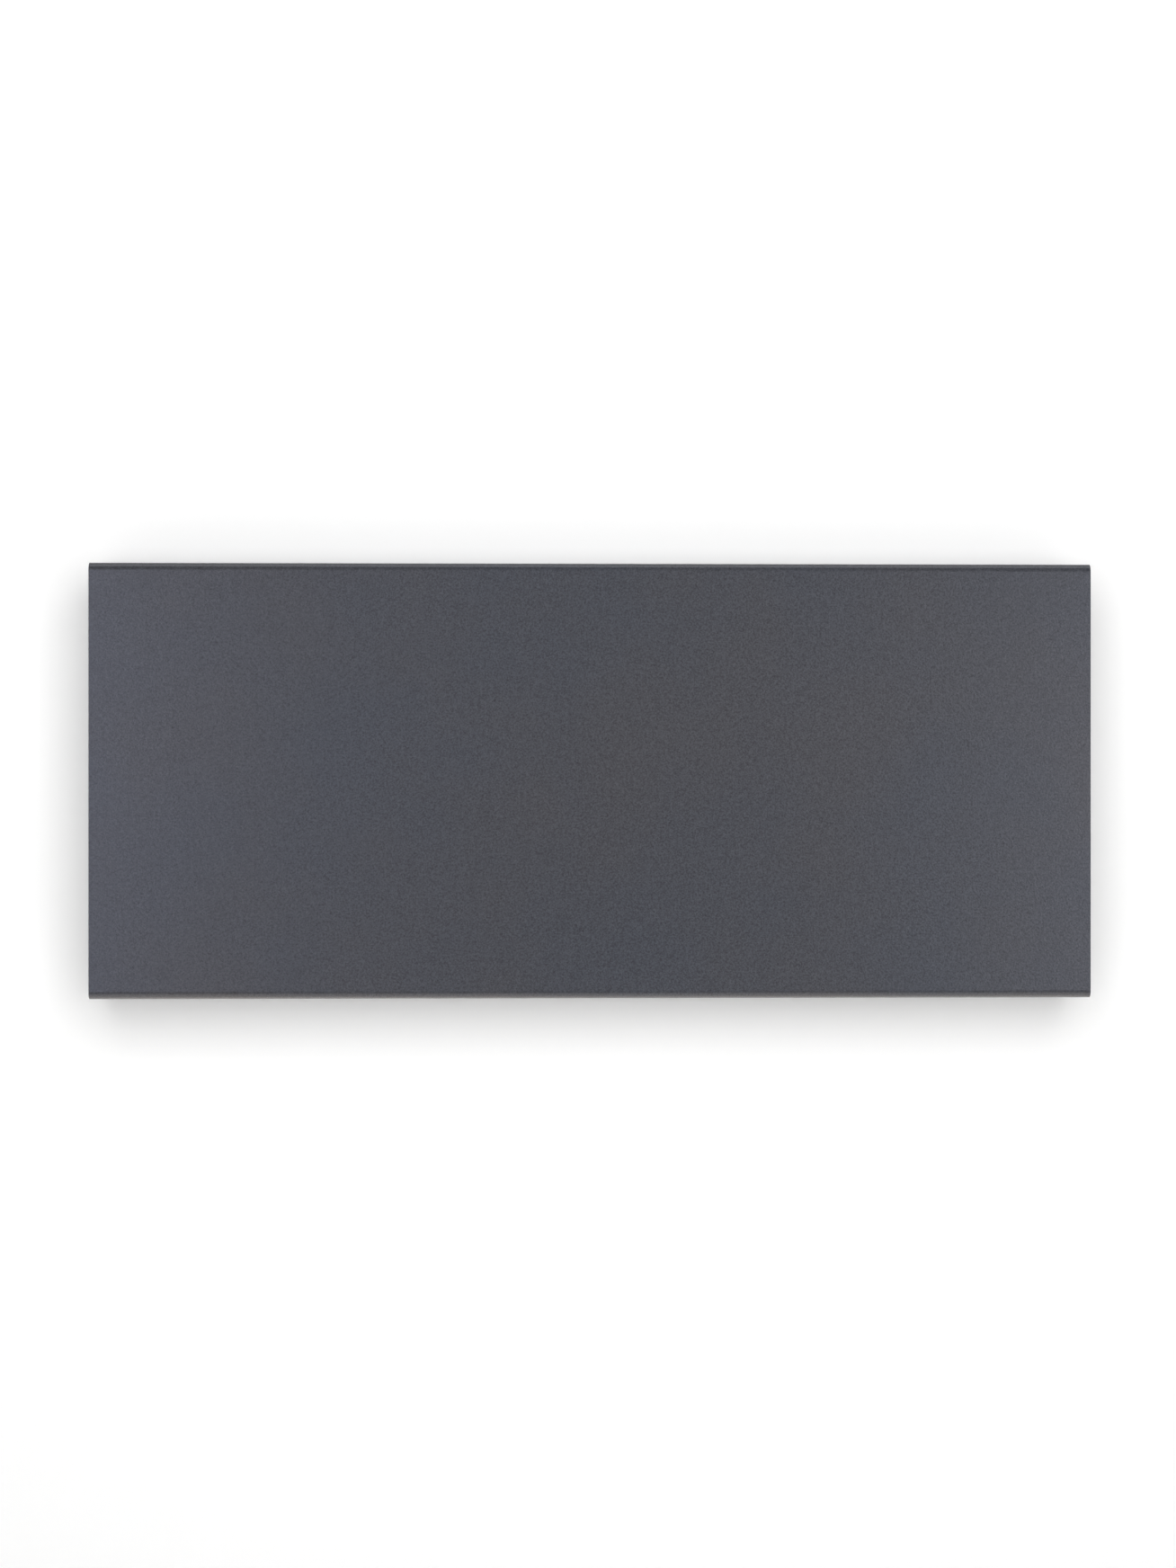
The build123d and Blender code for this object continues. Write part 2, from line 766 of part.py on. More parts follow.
# Turn locks: a lever, and a T-shaped head that passes the casing's slot upright and grips when turned
for side, name in ((-1, "lock_left"), (1, "lock_right")):
    with BuildPart() as turn_lock:
        with BuildSketch(face_at(-bracket_sheet - sheet_gap)):
            with Locations((side * leg_x, lock_height)):
                Circle(lock_boss_radius)
        extrude(amount=wall_gap - bracket_sheet - sheet_gap - lock_boss_gap)
        chamfer(turn_lock.edges().group_by(Axis.Y)[0], soft_edge)
        with BuildSketch(face_at(-wall_gap / 2 + lock_lever_thickness / 2)):
            with Locations((side * leg_x, lock_height)):
                with Locations((0, -lock_lever_length)):
                    Circle(lock_lever_end)
                Trapezoid(
                    lock_lever_root,
                    lock_lever_length,
                    left_side_angle=lock_lever_slope,
                    rotation=180,
                    align=(Align.CENTER, Align.MIN),
                )
        extrude(amount=lock_lever_thickness)
        with BuildSketch(face_at(-wall_gap + lock_boss_gap)):
            with Locations((side * leg_x, lock_height)):
                Circle(lock_neck_radius)
        extrude(amount=lock_boss_gap + casing_sheet + lock_grip + lock_head_thickness)
        with BuildSketch(face_at(casing_inside - lock_grip)):
            with Locations((side * leg_x, lock_height)):
                RectangleRounded(lock_head_width, lock_head_length, lock_head_round)
        extrude(amount=lock_head_thickness)
        with BuildSketch(face_at(-bracket_sheet - sheet_gap)):
            with Locations((side * leg_x, lock_height)):
                Circle(lock_stud_radius + running_play)
        extrude(amount=lock_stud_length, mode=Mode.SUBTRACT)
    save(turn_lock, name)

# Nylon shoes on the upper edges of the hook slots: their round noses turn in the hooks
with BuildPart() as hook_shoes:
    for x in (-leg_x, leg_x):
        with BuildSketch(Plane.YZ.offset(x - shoe_width / 2)):
            with Locations((hook_seat, hook_height)):
                Circle(shoe_nose)
                Rectangle(2 * shoe_nose, shoe_height, align=(Align.CENTER, Align.MIN))
            with Locations((hook_seat, hook_height + hook_arm_rise)):
                Rectangle(shoe_slit, shoe_height, align=(Align.CENTER, Align.MIN), mode=Mode.SUBTRACT)
        extrude(amount=shoe_width)
save(hook_shoes, "hook_shoes")

# Chimney side plates, flanged away from the element, with holes for the bushes and rivets
for x, side, name in ((chimney_left, -1, "chimney_plate_left"), (chimney_right, 1, "chimney_plate_right")):
    with BuildPart() as chimney_plate:
        with BuildSketch(Plane.XY.offset(-plate_height / 2)):
            with BuildLine():
                FilletPolyline(
                    (x + side * plate_flange, casing_inside),
                    (x, casing_inside),
                    (x, -chimney_front),
                    (x + side * plate_flange, -chimney_front),
                    radius=[plate_bend, plate_bend],
                )
                offset(amount=plate_sheet, side=Side.LEFT if side > 0 else Side.RIGHT)
            make_face()
        extrude(amount=plate_height)
        flange_x = x + side * (plate_sheet + plate_flange) / 2
        with BuildSketch(face_at(casing_inside)):
            with Locations(*[(flange_x, z) for z in rivet_heights]):
                Circle(rivet_radius + running_play)
        extrude(amount=chimney_front, mode=Mode.SUBTRACT)
        with BuildSketch(Plane.YZ.offset(x)):
            with Locations((element_y, element_z)):
                Circle(bush_radius + sunk_play)
            with Locations(*[(rear_shield_rivet_y, z) for z in side_rivet_heights]):
                Circle(rivet_radius + running_play)
            if side > 0:
                with Locations((element_y, cutout_z)):
                    Circle(cutout_cap_radius + screw_hole_play)
                with Locations(*[(element_y, z) for z in cutout_rivet_heights]):
                    Circle(rivet_radius + running_play)
        extrude(amount=side * plate_sheet, mode=Mode.SUBTRACT)
    save(chimney_plate, name)

# Heat shields in front of the element and behind it
with BuildPart() as front_heat_shield:
    with BuildSketch(Plane.YZ.offset(chimney_left - plate_flange)):
        with BuildLine():
            FilletPolyline(
                (-chimney_front - shield_sheet, -plate_height / 2 - shield_overhang),
                (-chimney_front - shield_sheet, plate_height / 2 + shield_bend / 2),
                (-chimney_front - shield_sheet + deflector_depth, plate_height / 2 + deflector_height),
                radius=[shield_bend],
            )
            offset(amount=shield_sheet, side=Side.RIGHT)
        make_face()
    extrude(amount=chimney_length + 2 * plate_flange)
    with BuildSketch(face_at(-chimney_front)):
        with Locations(*flange_rivet_points):
            Circle(rivet_radius + running_play)
    extrude(amount=shield_sheet, mode=Mode.SUBTRACT)
save(front_heat_shield, "front_heat_shield")

with BuildPart() as rear_heat_shield:
    with BuildSketch(Plane.XY.offset(rear_shield_rise / 2 - rear_shield_height / 2)):
        with BuildLine():
            FilletPolyline(
                (chimney_left, -rear_shield_to_wall - rear_shield_flange),
                (chimney_left, -rear_shield_to_wall),
                (chimney_right, -rear_shield_to_wall),
                (chimney_right, -rear_shield_to_wall - rear_shield_flange),
                radius=[groove_bend, groove_bend],
            )
            offset(amount=shield_sheet, side=Side.RIGHT)
        make_face()
    extrude(amount=rear_shield_height)
    with BuildSketch(Plane.YZ.offset(chimney_left)):
        with Locations(*[(rear_shield_rivet_y, z) for z in side_rivet_heights]):
            Circle(rivet_radius + running_play)
    extrude(amount=chimney_length, mode=Mode.SUBTRACT)
save(rear_heat_shield, "rear_heat_shield")

chassis_rivets = fasteners(
    [(face_at(casing_back), -1, flange_rivet_points)],
    rivet_radius,
    casing_sheet + plate_sheet,
    rivet_head,
    rivet_head_height,
    tail=rivet_tail,
    tail_height=rivet_tail_height,
)
save(chassis_rivets, "chassis_rivets")

shield_rivets = fasteners(
    [
        (face_at(-chimney_front - shield_sheet), 1, flange_rivet_points),
        (
            Plane.YZ.offset(chimney_left - plate_sheet),
            -1,
            [(rear_shield_rivet_y, z) for z in side_rivet_heights],
        ),
        (
            Plane.YZ.offset(chimney_right + plate_sheet),
            1,
            [(rear_shield_rivet_y, z) for z in side_rivet_heights],
        ),
        (
            Plane.YZ.offset(chimney_right + plate_sheet + shield_sheet),
            1,
            [(element_y, z) for z in cutout_rivet_heights],
        ),
    ],
    rivet_radius,
    plate_sheet + shield_sheet,
    rivet_head,
    rivet_head_height,
    tail=rivet_tail,
    tail_height=rivet_tail_height,
)
save(shield_rivets, "shield_rivets")

# Heating element
with BuildPart() as element_fins:
    with BuildSketch(Plane.YZ.offset(chimney_left + element_end_gap)):
        with Locations((element_y, element_z)):
            Circle(element_core)
        for angle in (arm_angle, 180 - arm_angle, 180 + arm_angle, -arm_angle):
            with Locations((element_y, element_z)):
                Rectangle(arm_length, arm_thickness, rotation=angle, align=(Align.MIN, Align.CENTER))
            for n in range(fin_count):
                fin = Vector(first_fin + n * fin_spacing, 0).rotate(Axis.Z, angle)
                with Locations((element_y + fin.X, element_z + fin.Y)):
                    Rectangle(fin_thickness, fin_length, rotation=angle)
        with Locations((element_y, element_z)):
            Circle(element_bore, mode=Mode.SUBTRACT)
    extrude(amount=chimney_length - 2 * element_end_gap)
save(element_fins, "element_fins")

with BuildPart() as element_sheath:
    with BuildSketch(Plane.YZ.offset(chimney_left - sheath_overhang / 2)):
        with Locations((element_y, element_z)):
            Circle(sheath_radius)
    extrude(amount=chimney_length + 1.5 * sheath_overhang)
save(element_sheath, "element_sheath")

with BuildPart() as element_bushes:
    for x, side in ((chimney_left, -1), (chimney_right, 1)):
        with BuildSketch(Plane.YZ.offset(x)):
            with Locations((element_y, element_z)):
                Circle(bush_flange)
        extrude(amount=-side * bush_flange_thickness)
        with BuildSketch(Plane.YZ.offset(x)):
            with Locations((element_y, element_z)):
                Circle(bush_radius)
        extrude(amount=side * bush_length)
        with BuildSketch(Plane.YZ.offset(x - side * bush_flange_thickness)):
            with Locations((element_y, element_z)):
                Circle(element_bore)
        extrude(amount=side * (bush_length + bush_flange_thickness), mode=Mode.SUBTRACT)
save(element_bushes, "element_bushes")

with BuildPart() as element_end_seal:
    with BuildSketch(Plane.YZ.offset(end_seal_start)):
        with Locations((element_y, element_z)):
            Circle(end_seal_radius)
    extrude(amount=end_seal_end - end_seal_start)
    chamfer(element_end_seal.edges().group_by(Axis.X)[-1], soft_edge)
    with BuildSketch(Plane.YZ.offset(end_seal_start)):
        with Locations((element_y, element_z)):
            Circle(element_bore)
    extrude(amount=chimney_right + sheath_overhang - end_seal_start, mode=Mode.SUBTRACT)
save(element_end_seal, "element_end_seal")

# Thermal cut-out: a metal cap with ears on the plate, and a phenolic body behind it
with BuildPart() as cutout_cap:
    with BuildSketch(Plane.YZ.offset(chimney_right + plate_sheet)):
        with Locations((element_y, cutout_z)):
            SlotOverall(cutout_ear_length, cutout_ear_width, rotation=90)
            Circle(cutout_body_radius)
        with Locations(*[(element_y, z) for z in cutout_rivet_heights]):
            Circle(rivet_radius + running_play, mode=Mode.SUBTRACT)
    extrude(amount=shield_sheet)
    with BuildSketch(Plane.YZ.offset(chimney_right + plate_sheet)):
        with Locations((element_y, cutout_z)):
            Circle(cutout_cap_radius)
    extrude(amount=-cutout_cap_depth)
    chamfer(cutout_cap.edges().group_by(Axis.X)[0], component_edge)
save(cutout_cap, "cutout_cap")

with BuildPart() as thermal_cutout:
    with BuildSketch(Plane.YZ.offset(cutout_back)):
        with Locations((element_y, cutout_z)):
            Circle(cutout_body_radius)
    extrude(amount=-cutout_body_depth)
    chamfer(thermal_cutout.edges().group_by(Axis.X)[-1], soft_edge)
save(thermal_cutout, "thermal_cutout")

# Spade tabs of the element, the cut-out, the power board and the rocker switch, with a sleeve on each
element_tabs = [((end_seal_end, element_y, element_z + s * tab_pitch / 2), (1, 0, 0)) for s in (-1, 1)]
cutout_tabs = [((cutout_back, element_y, cutout_z + s * tab_pitch / 2), (1, 0, 0)) for s in (-1, 1)]
board_tabs = [((x, board_front, board_tab_height), (0, -1, 0)) for x in board_tab_x]
switch_tab_y = [-switch_to_wall + s * switch_tab_pitch_y / 2 for s in (-1, 1)]
switch_tab_z = [switch_height + s * switch_tab_pitch_z / 2 for s in (-1, 1)]
switch_tabs = [((switch_back, y, z), (-1, 0, 0)) for y in switch_tab_y for z in switch_tab_z]
tabs = element_tabs + cutout_tabs + board_tabs + switch_tabs

with BuildPart() as spade_tabs:
    for root, outward in tabs:
        with BuildSketch(Plane(origin=root, x_dir=(0, 0, 1), z_dir=outward)):
            Rectangle(tab_width, tab_thickness)
        extrude(amount=tab_length)
save(spade_tabs, "spade_tabs")

with BuildPart() as tab_sleeves:
    for root, outward in tabs:
        mouth = Plane(origin=root, x_dir=(0, 0, 1), z_dir=outward).offset(sheet_gap)
        with BuildSketch(mouth):
            RectangleRounded(
                tab_width + 2 * (sleeve_play + sleeve_wall),
                tab_thickness + 2 * (sleeve_play + sleeve_wall),
                sleeve_round,
            )
        extrude(amount=sleeve_length)
        with BuildSketch(mouth):
            Rectangle(tab_width + 2 * sleeve_play, tab_thickness + 2 * sleeve_play)
        extrude(amount=tab_length - sheet_gap, mode=Mode.SUBTRACT)
save(tab_sleeves, "tab_sleeves")

# Controls at the right-hand end of the deck
with BuildPart() as control_housing:
    with BuildSketch(Plane.XY.offset(deck_top)):
        with Locations((controls_middle, controls_y)):
            RectangleRounded(tray_length, tray_width, tray_corner)
    extrude(amount=-tray_depth)
    with BuildSketch(Plane.XY.offset(deck_top)):
        with Locations((controls_middle, controls_y)):
            RectangleRounded(tray_length - 2 * tray_wall, tray_width - 2 * tray_wall, tray_corner / 2)
    extrude(amount=tray_floor - deck_top, mode=Mode.SUBTRACT)
    with BuildSketch(Plane.XY.offset(tray_floor)):
        with Locations((controls_middle, controls_y)):
            with GridLocations(post_pitch_x, post_pitch_y, 2, 2):
                Circle(post_radius)
    extrude(amount=display_board_top - board_thickness - tray_floor)
    with BuildSketch(Plane.XY.offset(tray_floor)):
        with Locations((controls_middle, controls_y)):
            with GridLocations(post_pitch_x, post_pitch_y, 2, 2):
                Circle(post_pin)
    extrude(amount=display_board_top + post_pin_proud - tray_floor)
    with BuildSketch(Plane.XY.offset(tray_floor)):
        with Locations((controls_middle, -ribbon_to_wall)):
            Rectangle(ribbon_opening_length, ribbon_opening_width)
    extrude(amount=-tray_wall, mode=Mode.SUBTRACT)
    with BuildSketch(Plane.XY.offset(deck_top - casing_sheet - sunk_play)):
        with Locations((controls_middle, controls_y)):
            with GridLocations(snap_pitch, tray_width + snap_reach, 2, 2):
                Rectangle(snap_length, snap_reach)
    extrude(amount=-snap_height)
save(control_housing, "control_housing")

with BuildPart() as control_fascia:
    with BuildSketch(Plane.XY.offset(deck_top)):
        with Locations((controls_middle, controls_y)):
            RectangleRounded(fascia_length, fascia_width, fascia_corner)
    extrude(amount=fascia_thickness)
    chamfer(control_fascia.faces().sort_by(Axis.Z)[-1].outer_wire().edges(), cap_edge)
    with BuildSketch(Plane.XY.offset(deck_top)):
        with Locations(*[(x, controls_y) for x in button_x]):
            Circle(button_radius + button_hole_play)
        with Locations((light_x, controls_y)):
            with GridLocations(1, light_spacing, 1, 2):
                Circle(light_radius + running_play)
        with Locations((window_x, controls_y)):
            Rectangle(window_length - 2 * window_ledge, window_width - 2 * window_ledge)
    extrude(amount=fascia_thickness, mode=Mode.SUBTRACT)
    with BuildSketch(Plane.XY.offset(fascia_top)):
        with Locations((window_x, controls_y)):
            Rectangle(window_length + 2 * sunk_play, window_width + 2 * sunk_play)
    extrude(amount=-window_thickness, mode=Mode.SUBTRACT)
save(control_fascia, "control_fascia")

with BuildPart() as display_window:
    with BuildSketch(Plane.XY.offset(fascia_top - window_thickness)):
        with Locations((window_x, controls_y)):
            Rectangle(window_length, window_width)
    extrude(amount=window_thickness)
save(display_window, "display_window")

with BuildPart() as display_board:
    with BuildSketch(Plane.XY.offset(display_board_top)):
        with Locations((controls_middle, controls_y)):
            Rectangle(display_board_length, display_board_width)
            with GridLocations(post_pitch_x, post_pitch_y, 2, 2):
                Circle(post_pin + sunk_play, mode=Mode.SUBTRACT)
    extrude(amount=-board_thickness)
save(display_board, "display_board")

with BuildPart() as led_display:
    with BuildSketch(Plane.XY.offset(display_board_top)):
        with Locations((window_x, controls_y)):
            Rectangle(led_length, led_width)
    extrude(amount=display_board_drop - sheet_gap)
save(led_display, "led_display")

with BuildPart() as tact_switches:
    with BuildSketch(Plane.XY.offset(display_board_top)):
        with Locations(*[(x, controls_y) for x in button_x]):
            RectangleRounded(tact_size, tact_size, component_edge)
    extrude(amount=tact_height)
    with BuildSketch(Plane.XY.offset(display_board_top + tact_height)):
        with Locations(*[(x, controls_y) for x in button_x]):
            Circle(tact_well_radius)
    extrude(amount=-tact_well, mode=Mode.SUBTRACT)
save(tact_switches, "tact_switches")

# Buttons: a cap through the fascia, a flange that keeps it in and a stem down to its switch
button_names = ("button_power", "button_minus", "button_plus", "button_confirm")
for x, name in zip(button_x, button_names):
    with BuildPart() as button:
        with BuildSketch(Plane.XY.offset(deck_top - sheet_gap + running_play)):
            with Locations((x, controls_y)):
                Circle(button_radius)
        extrude(amount=fascia_thickness + button_proud + sheet_gap - running_play)
        fillet(button.edges().group_by(Axis.Z)[-1], cap_edge)
        with BuildSketch(Plane.XY.offset(deck_top - button_hole_play)):
            with Locations((x, controls_y)):
                Circle(button_radius + button_flange)
        extrude(amount=-button_flange_thickness)
        with BuildSketch(Plane.XY.offset(stem_bottom)):
            with Locations((x, controls_y)):
                Circle(stem_radius)
        extrude(amount=deck_top - button_hole_play - stem_bottom)
    save(button, name)

with BuildPart() as indicator_lights:
    with BuildSketch(Plane.XY.offset(fascia_top)):
        with Locations((light_x, controls_y)):
            with GridLocations(1, light_spacing, 1, 2):
                Circle(light_radius)
    extrude(amount=-fascia_thickness)
    with BuildSketch(Plane.XY.offset(deck_top)):
        with Locations((light_x, controls_y)):
            with GridLocations(1, light_spacing, 1, 2):
                Circle(2 * light_radius)
    extrude(amount=-light_radius)
save(indicator_lights, "indicator_lights")

with BuildPart() as radio_module:
    with BuildSketch(Plane.XY.offset(display_board_top - board_thickness)):
        with Locations((radio_x, controls_y)):
            RectangleRounded(radio_length, radio_width, component_edge)
    extrude(amount=-radio_thickness)
save(radio_module, "radio_module")

with BuildPart() as ribbon_cable:
    with BuildSketch(Plane.XY.offset(ribbon_bottom)):
        with Locations((controls_middle, -ribbon_to_wall)):
            Rectangle(ribbon_width, ribbon_thickness)
    extrude(amount=display_board_top - board_thickness - ribbon_bottom)
save(ribbon_cable, "ribbon_cable")

# Power board with its components
with BuildPart() as power_board:
    with BuildSketch(face_at(standoff_front)):
        with Locations((power_board_left, power_board_bottom)):
            Rectangle(power_board_width, power_board_height, align=(Align.MIN, Align.MIN))
        with Locations(*standoff_points):
            Circle(board_screw_radius + sunk_play, mode=Mode.SUBTRACT)
    extrude(amount=board_thickness)
save(power_board, "power_board")

with BuildPart() as board_standoffs:
    with BuildSketch(face_at(casing_inside)):
        with Locations(*standoff_points):
            Circle(standoff_radius)
            Circle(board_screw_radius + running_play, mode=Mode.SUBTRACT)
    extrude(amount=standoff_length)
save(board_standoffs, "board_standoffs")

board_screws = fasteners(
    [
        (face_at(board_front), 1, standoff_points),
        (face_at(casing_back), -1, standoff_points + [(gland_x, block_bottom + block_height / 2)]),
    ],
    board_screw_radius,
    board_screw_length,
    board_screw_head,
    board_screw_height,
    board_screw_height / 2,
)
save(board_screws, "board_screws")

for name, size, place in (
    ("relay", relay_size, relay_place),
    ("power_converter", converter_size, converter_place),
):
    with BuildPart() as component:
        with BuildSketch(face_at(board_front)):
            with Locations((power_board_left + place[0], power_board_bottom + place[1])):
                Rectangle(size[0], size[1])
        extrude(amount=size[2])
        chamfer(component.edges().group_by(Axis.Y)[0], component_edge)
    save(component, name)

with BuildPart() as round_capacitor:
    with BuildSketch(face_at(board_front)):
        with Locations((power_board_left, power_board_bottom)):
            with Locations(round_capacitor_place):
                Circle(round_capacitor_radius)
    extrude(amount=round_capacitor_height)
    chamfer(round_capacitor.edges().group_by(Axis.Y)[0], component_edge)
save(round_capacitor, "round_capacitor")

with BuildPart() as board_sockets:
    with BuildSketch(face_at(board_front)):
        with Locations((controls_middle, ribbon_bottom - ribbon_socket_size[1] / 2)):
            Rectangle(ribbon_socket_size[0], ribbon_socket_size[1])
    extrude(amount=ribbon_socket_size[2])
    with BuildSketch(face_at(board_front)):
        with Locations((sensor_socket_x, sensor_socket_z)):
            Rectangle(sensor_socket_size[0], sensor_socket_size[1])
    extrude(amount=sensor_socket_size[2])
save(board_sockets, "board_sockets")

# Mains entry and terminal block
with BuildPart() as cable_gland:
    with BuildSketch(Plane.XY.offset(-casing_top - gland_flange_thickness)):
        with Locations((gland_x, -entry_to_wall)):
            Circle(gland_flange)
    extrude(amount=gland_flange_thickness)
    with BuildSketch(Plane.XY.offset(-casing_top)):
        with Locations((gland_x, -entry_to_wall)):
            Circle(gland_radius)
    extrude(amount=gland_length)
    with BuildSketch(Plane.XY.offset(-casing_top - gland_flange_thickness)):
        with Locations((gland_x, -entry_to_wall)):
            Circle(gland_bore)
    extrude(amount=gland_length + gland_flange_thickness, mode=Mode.SUBTRACT)
save(cable_gland, "cable_gland")

with BuildPart() as gland_nut:
    with BuildSketch(Plane.XY.offset(-casing_top + casing_sheet)):
        with Locations((gland_x, -entry_to_wall)):
            RegularPolygon(gland_nut_across_corners / 2, 6)
            Circle(gland_radius + running_play, mode=Mode.SUBTRACT)
    extrude(amount=gland_nut_thickness)
save(gland_nut, "gland_nut")

block_leads_y = casing_inside - block_lead_depth
block_poles = [gland_x - block_pole_pitch / 2, gland_x + block_pole_pitch / 2]
with BuildPart() as terminal_block:
    with BuildSketch(face_at(casing_inside)):
        with Locations((gland_x, block_bottom + block_height / 2)):
            Rectangle(block_length, block_height)
            Circle(board_screw_radius + running_play, mode=Mode.SUBTRACT)
    extrude(amount=block_depth)
    with BuildSketch(Plane.XY.offset(block_bottom + block_height)):
        with Locations(*[(x, block_leads_y) for x in block_poles]):
            Circle(lead_diameter / 2 + sunk_play)
    extrude(amount=-block_well, mode=Mode.SUBTRACT)
    with BuildSketch(face_at(casing_inside - block_depth)):
        with Locations(*[(x, block_bottom + block_height / 2) for x in block_poles]):
            Circle(block_screw_radius)
    extrude(amount=-block_well / 2, mode=Mode.SUBTRACT)
save(terminal_block, "terminal_block")

# Room sensor in its snap-in holder
with BuildPart() as sensor_holder:
    with BuildSketch(Plane.XY.offset(-casing_top - gland_flange_thickness)):
        with Locations((sensor_x, -entry_to_wall)):
            Circle(holder_flange)
    extrude(amount=gland_flange_thickness)
    with BuildSketch(Plane.XY.offset(-casing_top)):
        with Locations((sensor_x, -entry_to_wall)):
            Circle(holder_radius)
    extrude(amount=holder_length)
    with BuildSketch(Plane.XY.offset(-casing_top + casing_sheet)):
        with Locations((sensor_x, -entry_to_wall)):
            Circle(holder_snap)
    extrude(amount=snap_height)
    with BuildSketch(Plane.XY.offset(-casing_top - gland_flange_thickness)):
        with Locations((sensor_x, -entry_to_wall)):
            Circle(sensor_radius + running_play)
    extrude(amount=gland_flange_thickness + holder_length, mode=Mode.SUBTRACT)
save(sensor_holder, "sensor_holder")

sensor_top = -casing_top - gland_flange_thickness + sensor_length
with BuildPart() as room_sensor:
    with BuildSketch(Plane.XY.offset(sensor_top)):
        with Locations((sensor_x, -entry_to_wall)):
            Circle(sensor_radius)
    extrude(amount=-sensor_length)
    fillet(room_sensor.edges().group_by(Axis.Z)[0], soft_edge)
    with BuildSketch(Plane.XY.offset(-casing_top + holder_length)):
        with Locations((sensor_x, -entry_to_wall)):
            Circle(sensor_collar)
    extrude(amount=sensor_length - holder_length - gland_flange_thickness)
save(room_sensor, "room_sensor")

# Rocker switch in the right-hand end cap
rocker_x = cap_outside - rocker_pivot_depth
rocker_plane = Plane(origin=(rocker_x, -switch_to_wall, switch_height), x_dir=(1, 0, 0), z_dir=(0, -1, 0))
with BuildPart() as switch_housing:
    with BuildSketch(Plane.YZ.offset(switch_back)):
        with Locations((-switch_to_wall, switch_height)):
            Rectangle(switch_body_width, switch_body_length)
    extrude(amount=switch_body_depth)
    with BuildSketch(Plane.YZ.offset(cap_outside)):
        with Locations((-switch_to_wall, switch_height)):
            RectangleRounded(bezel_width, bezel_length, bezel_corner)
    extrude(amount=bezel_thickness)
    chamfer(switch_housing.faces().sort_by(Axis.X)[-1].edges(), bezel_edge)
    with BuildSketch(Plane.YZ.offset(cap_inside - sheet_gap)):
        with Locations((-switch_to_wall, switch_height)):
            Rectangle(switch_body_width / 2, switch_body_length + 2 * switch_snap)
    extrude(amount=-snap_height)
    with BuildSketch(Plane.YZ.offset(cap_outside + bezel_thickness)):
        with Locations((-switch_to_wall, switch_height)):
            RectangleRounded(rocker_opening_width, rocker_opening_length, soft_edge)
    extrude(amount=-rocker_well, mode=Mode.SUBTRACT)
    with BuildSketch(rocker_plane):
        Circle(rocker_pin_radius + running_play)
    extrude(amount=rocker_opening_width / 2 + rocker_pin_length, both=True, mode=Mode.SUBTRACT)
save(switch_housing, "switch_housing")

with BuildPart() as power_rocker:
    with BuildSketch(rocker_plane) as rocker_side:
        Polygon(*rocker_profile, rotation=rocker_rest, align=None)
        fillet(rocker_side.vertices(), rocker_corner)
    extrude(amount=rocker_width / 2, both=True)
    with BuildSketch(rocker_plane):
        Circle(rocker_pin_radius)
    extrude(amount=rocker_width / 2 + rocker_pin_length, both=True)
save(power_rocker, "power_rocker")

# Leads: two from the terminal block to the switch, two from the switch to the power board, three round the
# element and its cut-out, and one from the room sensor
lead_start = block_bottom + block_height - block_well
neutral_in, live_in = [(x, block_leads_y, lead_start) for x in block_poles]
rear_upper = sleeve_end(switch_tabs[3])
rear_lower = sleeve_end(switch_tabs[2])
front_upper = sleeve_end(switch_tabs[1])
front_lower = sleeve_end(switch_tabs[0])
element_lower, element_upper = [sleeve_end(tab) for tab in element_tabs]
cutout_lower, cutout_upper = [sleeve_end(tab) for tab in cutout_tabs]
board_ends = [sleeve_end(tab) for tab in board_tabs]
live_run_x = board_ends[3][0] - live_run_inset
neutral_run_x = board_ends[2][0] - neutral_run_inset
element_run_x = chimney_right + element_run
live_run_z = block_bottom + block_height + live_run_rise
neutral_run_z = block_bottom + block_height + neutral_run_rise
mains_leads = leads(
    [
        (
            [
                live_in,
                (live_in[0], block_leads_y, live_run_z),
                (live_run_x, block_leads_y, live_run_z),
                (live_run_x, rear_upper[1], live_run_z),
                (live_run_x, rear_upper[1], rear_upper[2]),
                rear_upper,
            ],
            [lead_bend] * 4,
        ),
        (
            [
                neutral_in,
                (neutral_in[0], block_leads_y, neutral_run_z),
                (neutral_run_x, block_leads_y, neutral_run_z),
                (neutral_run_x, rear_lower[1], neutral_run_z),
                (neutral_run_x, rear_lower[1], rear_lower[2]),
                rear_lower,
            ],
            [lead_bend] * 4,
        ),
    ],
    lead_diameter,
)
save(mains_leads, "mains_leads")

switched_leads = leads(
    [
        (
            [
                front_upper,
                (board_ends[3][0], front_upper[1], front_upper[2]),
                (board_ends[3][0], front_run_y, front_upper[2] + switched_rise),
                (board_ends[3][0], front_run_y, board_tab_height),
                board_ends[3],
            ],
            [close_bend, slow_bend, tight_bend],
        ),
        (
            [
                front_lower,
                (board_ends[2][0], front_lower[1], front_lower[2]),
                (board_ends[2][0], front_run_y, front_lower[2] + return_rise),
                (board_ends[2][0], front_run_y, board_tab_height),
                board_ends[2],
            ],
            [lead_bend, slow_bend, tight_bend],
        ),
    ],
    lead_diameter,
)
save(switched_leads, "switched_leads")

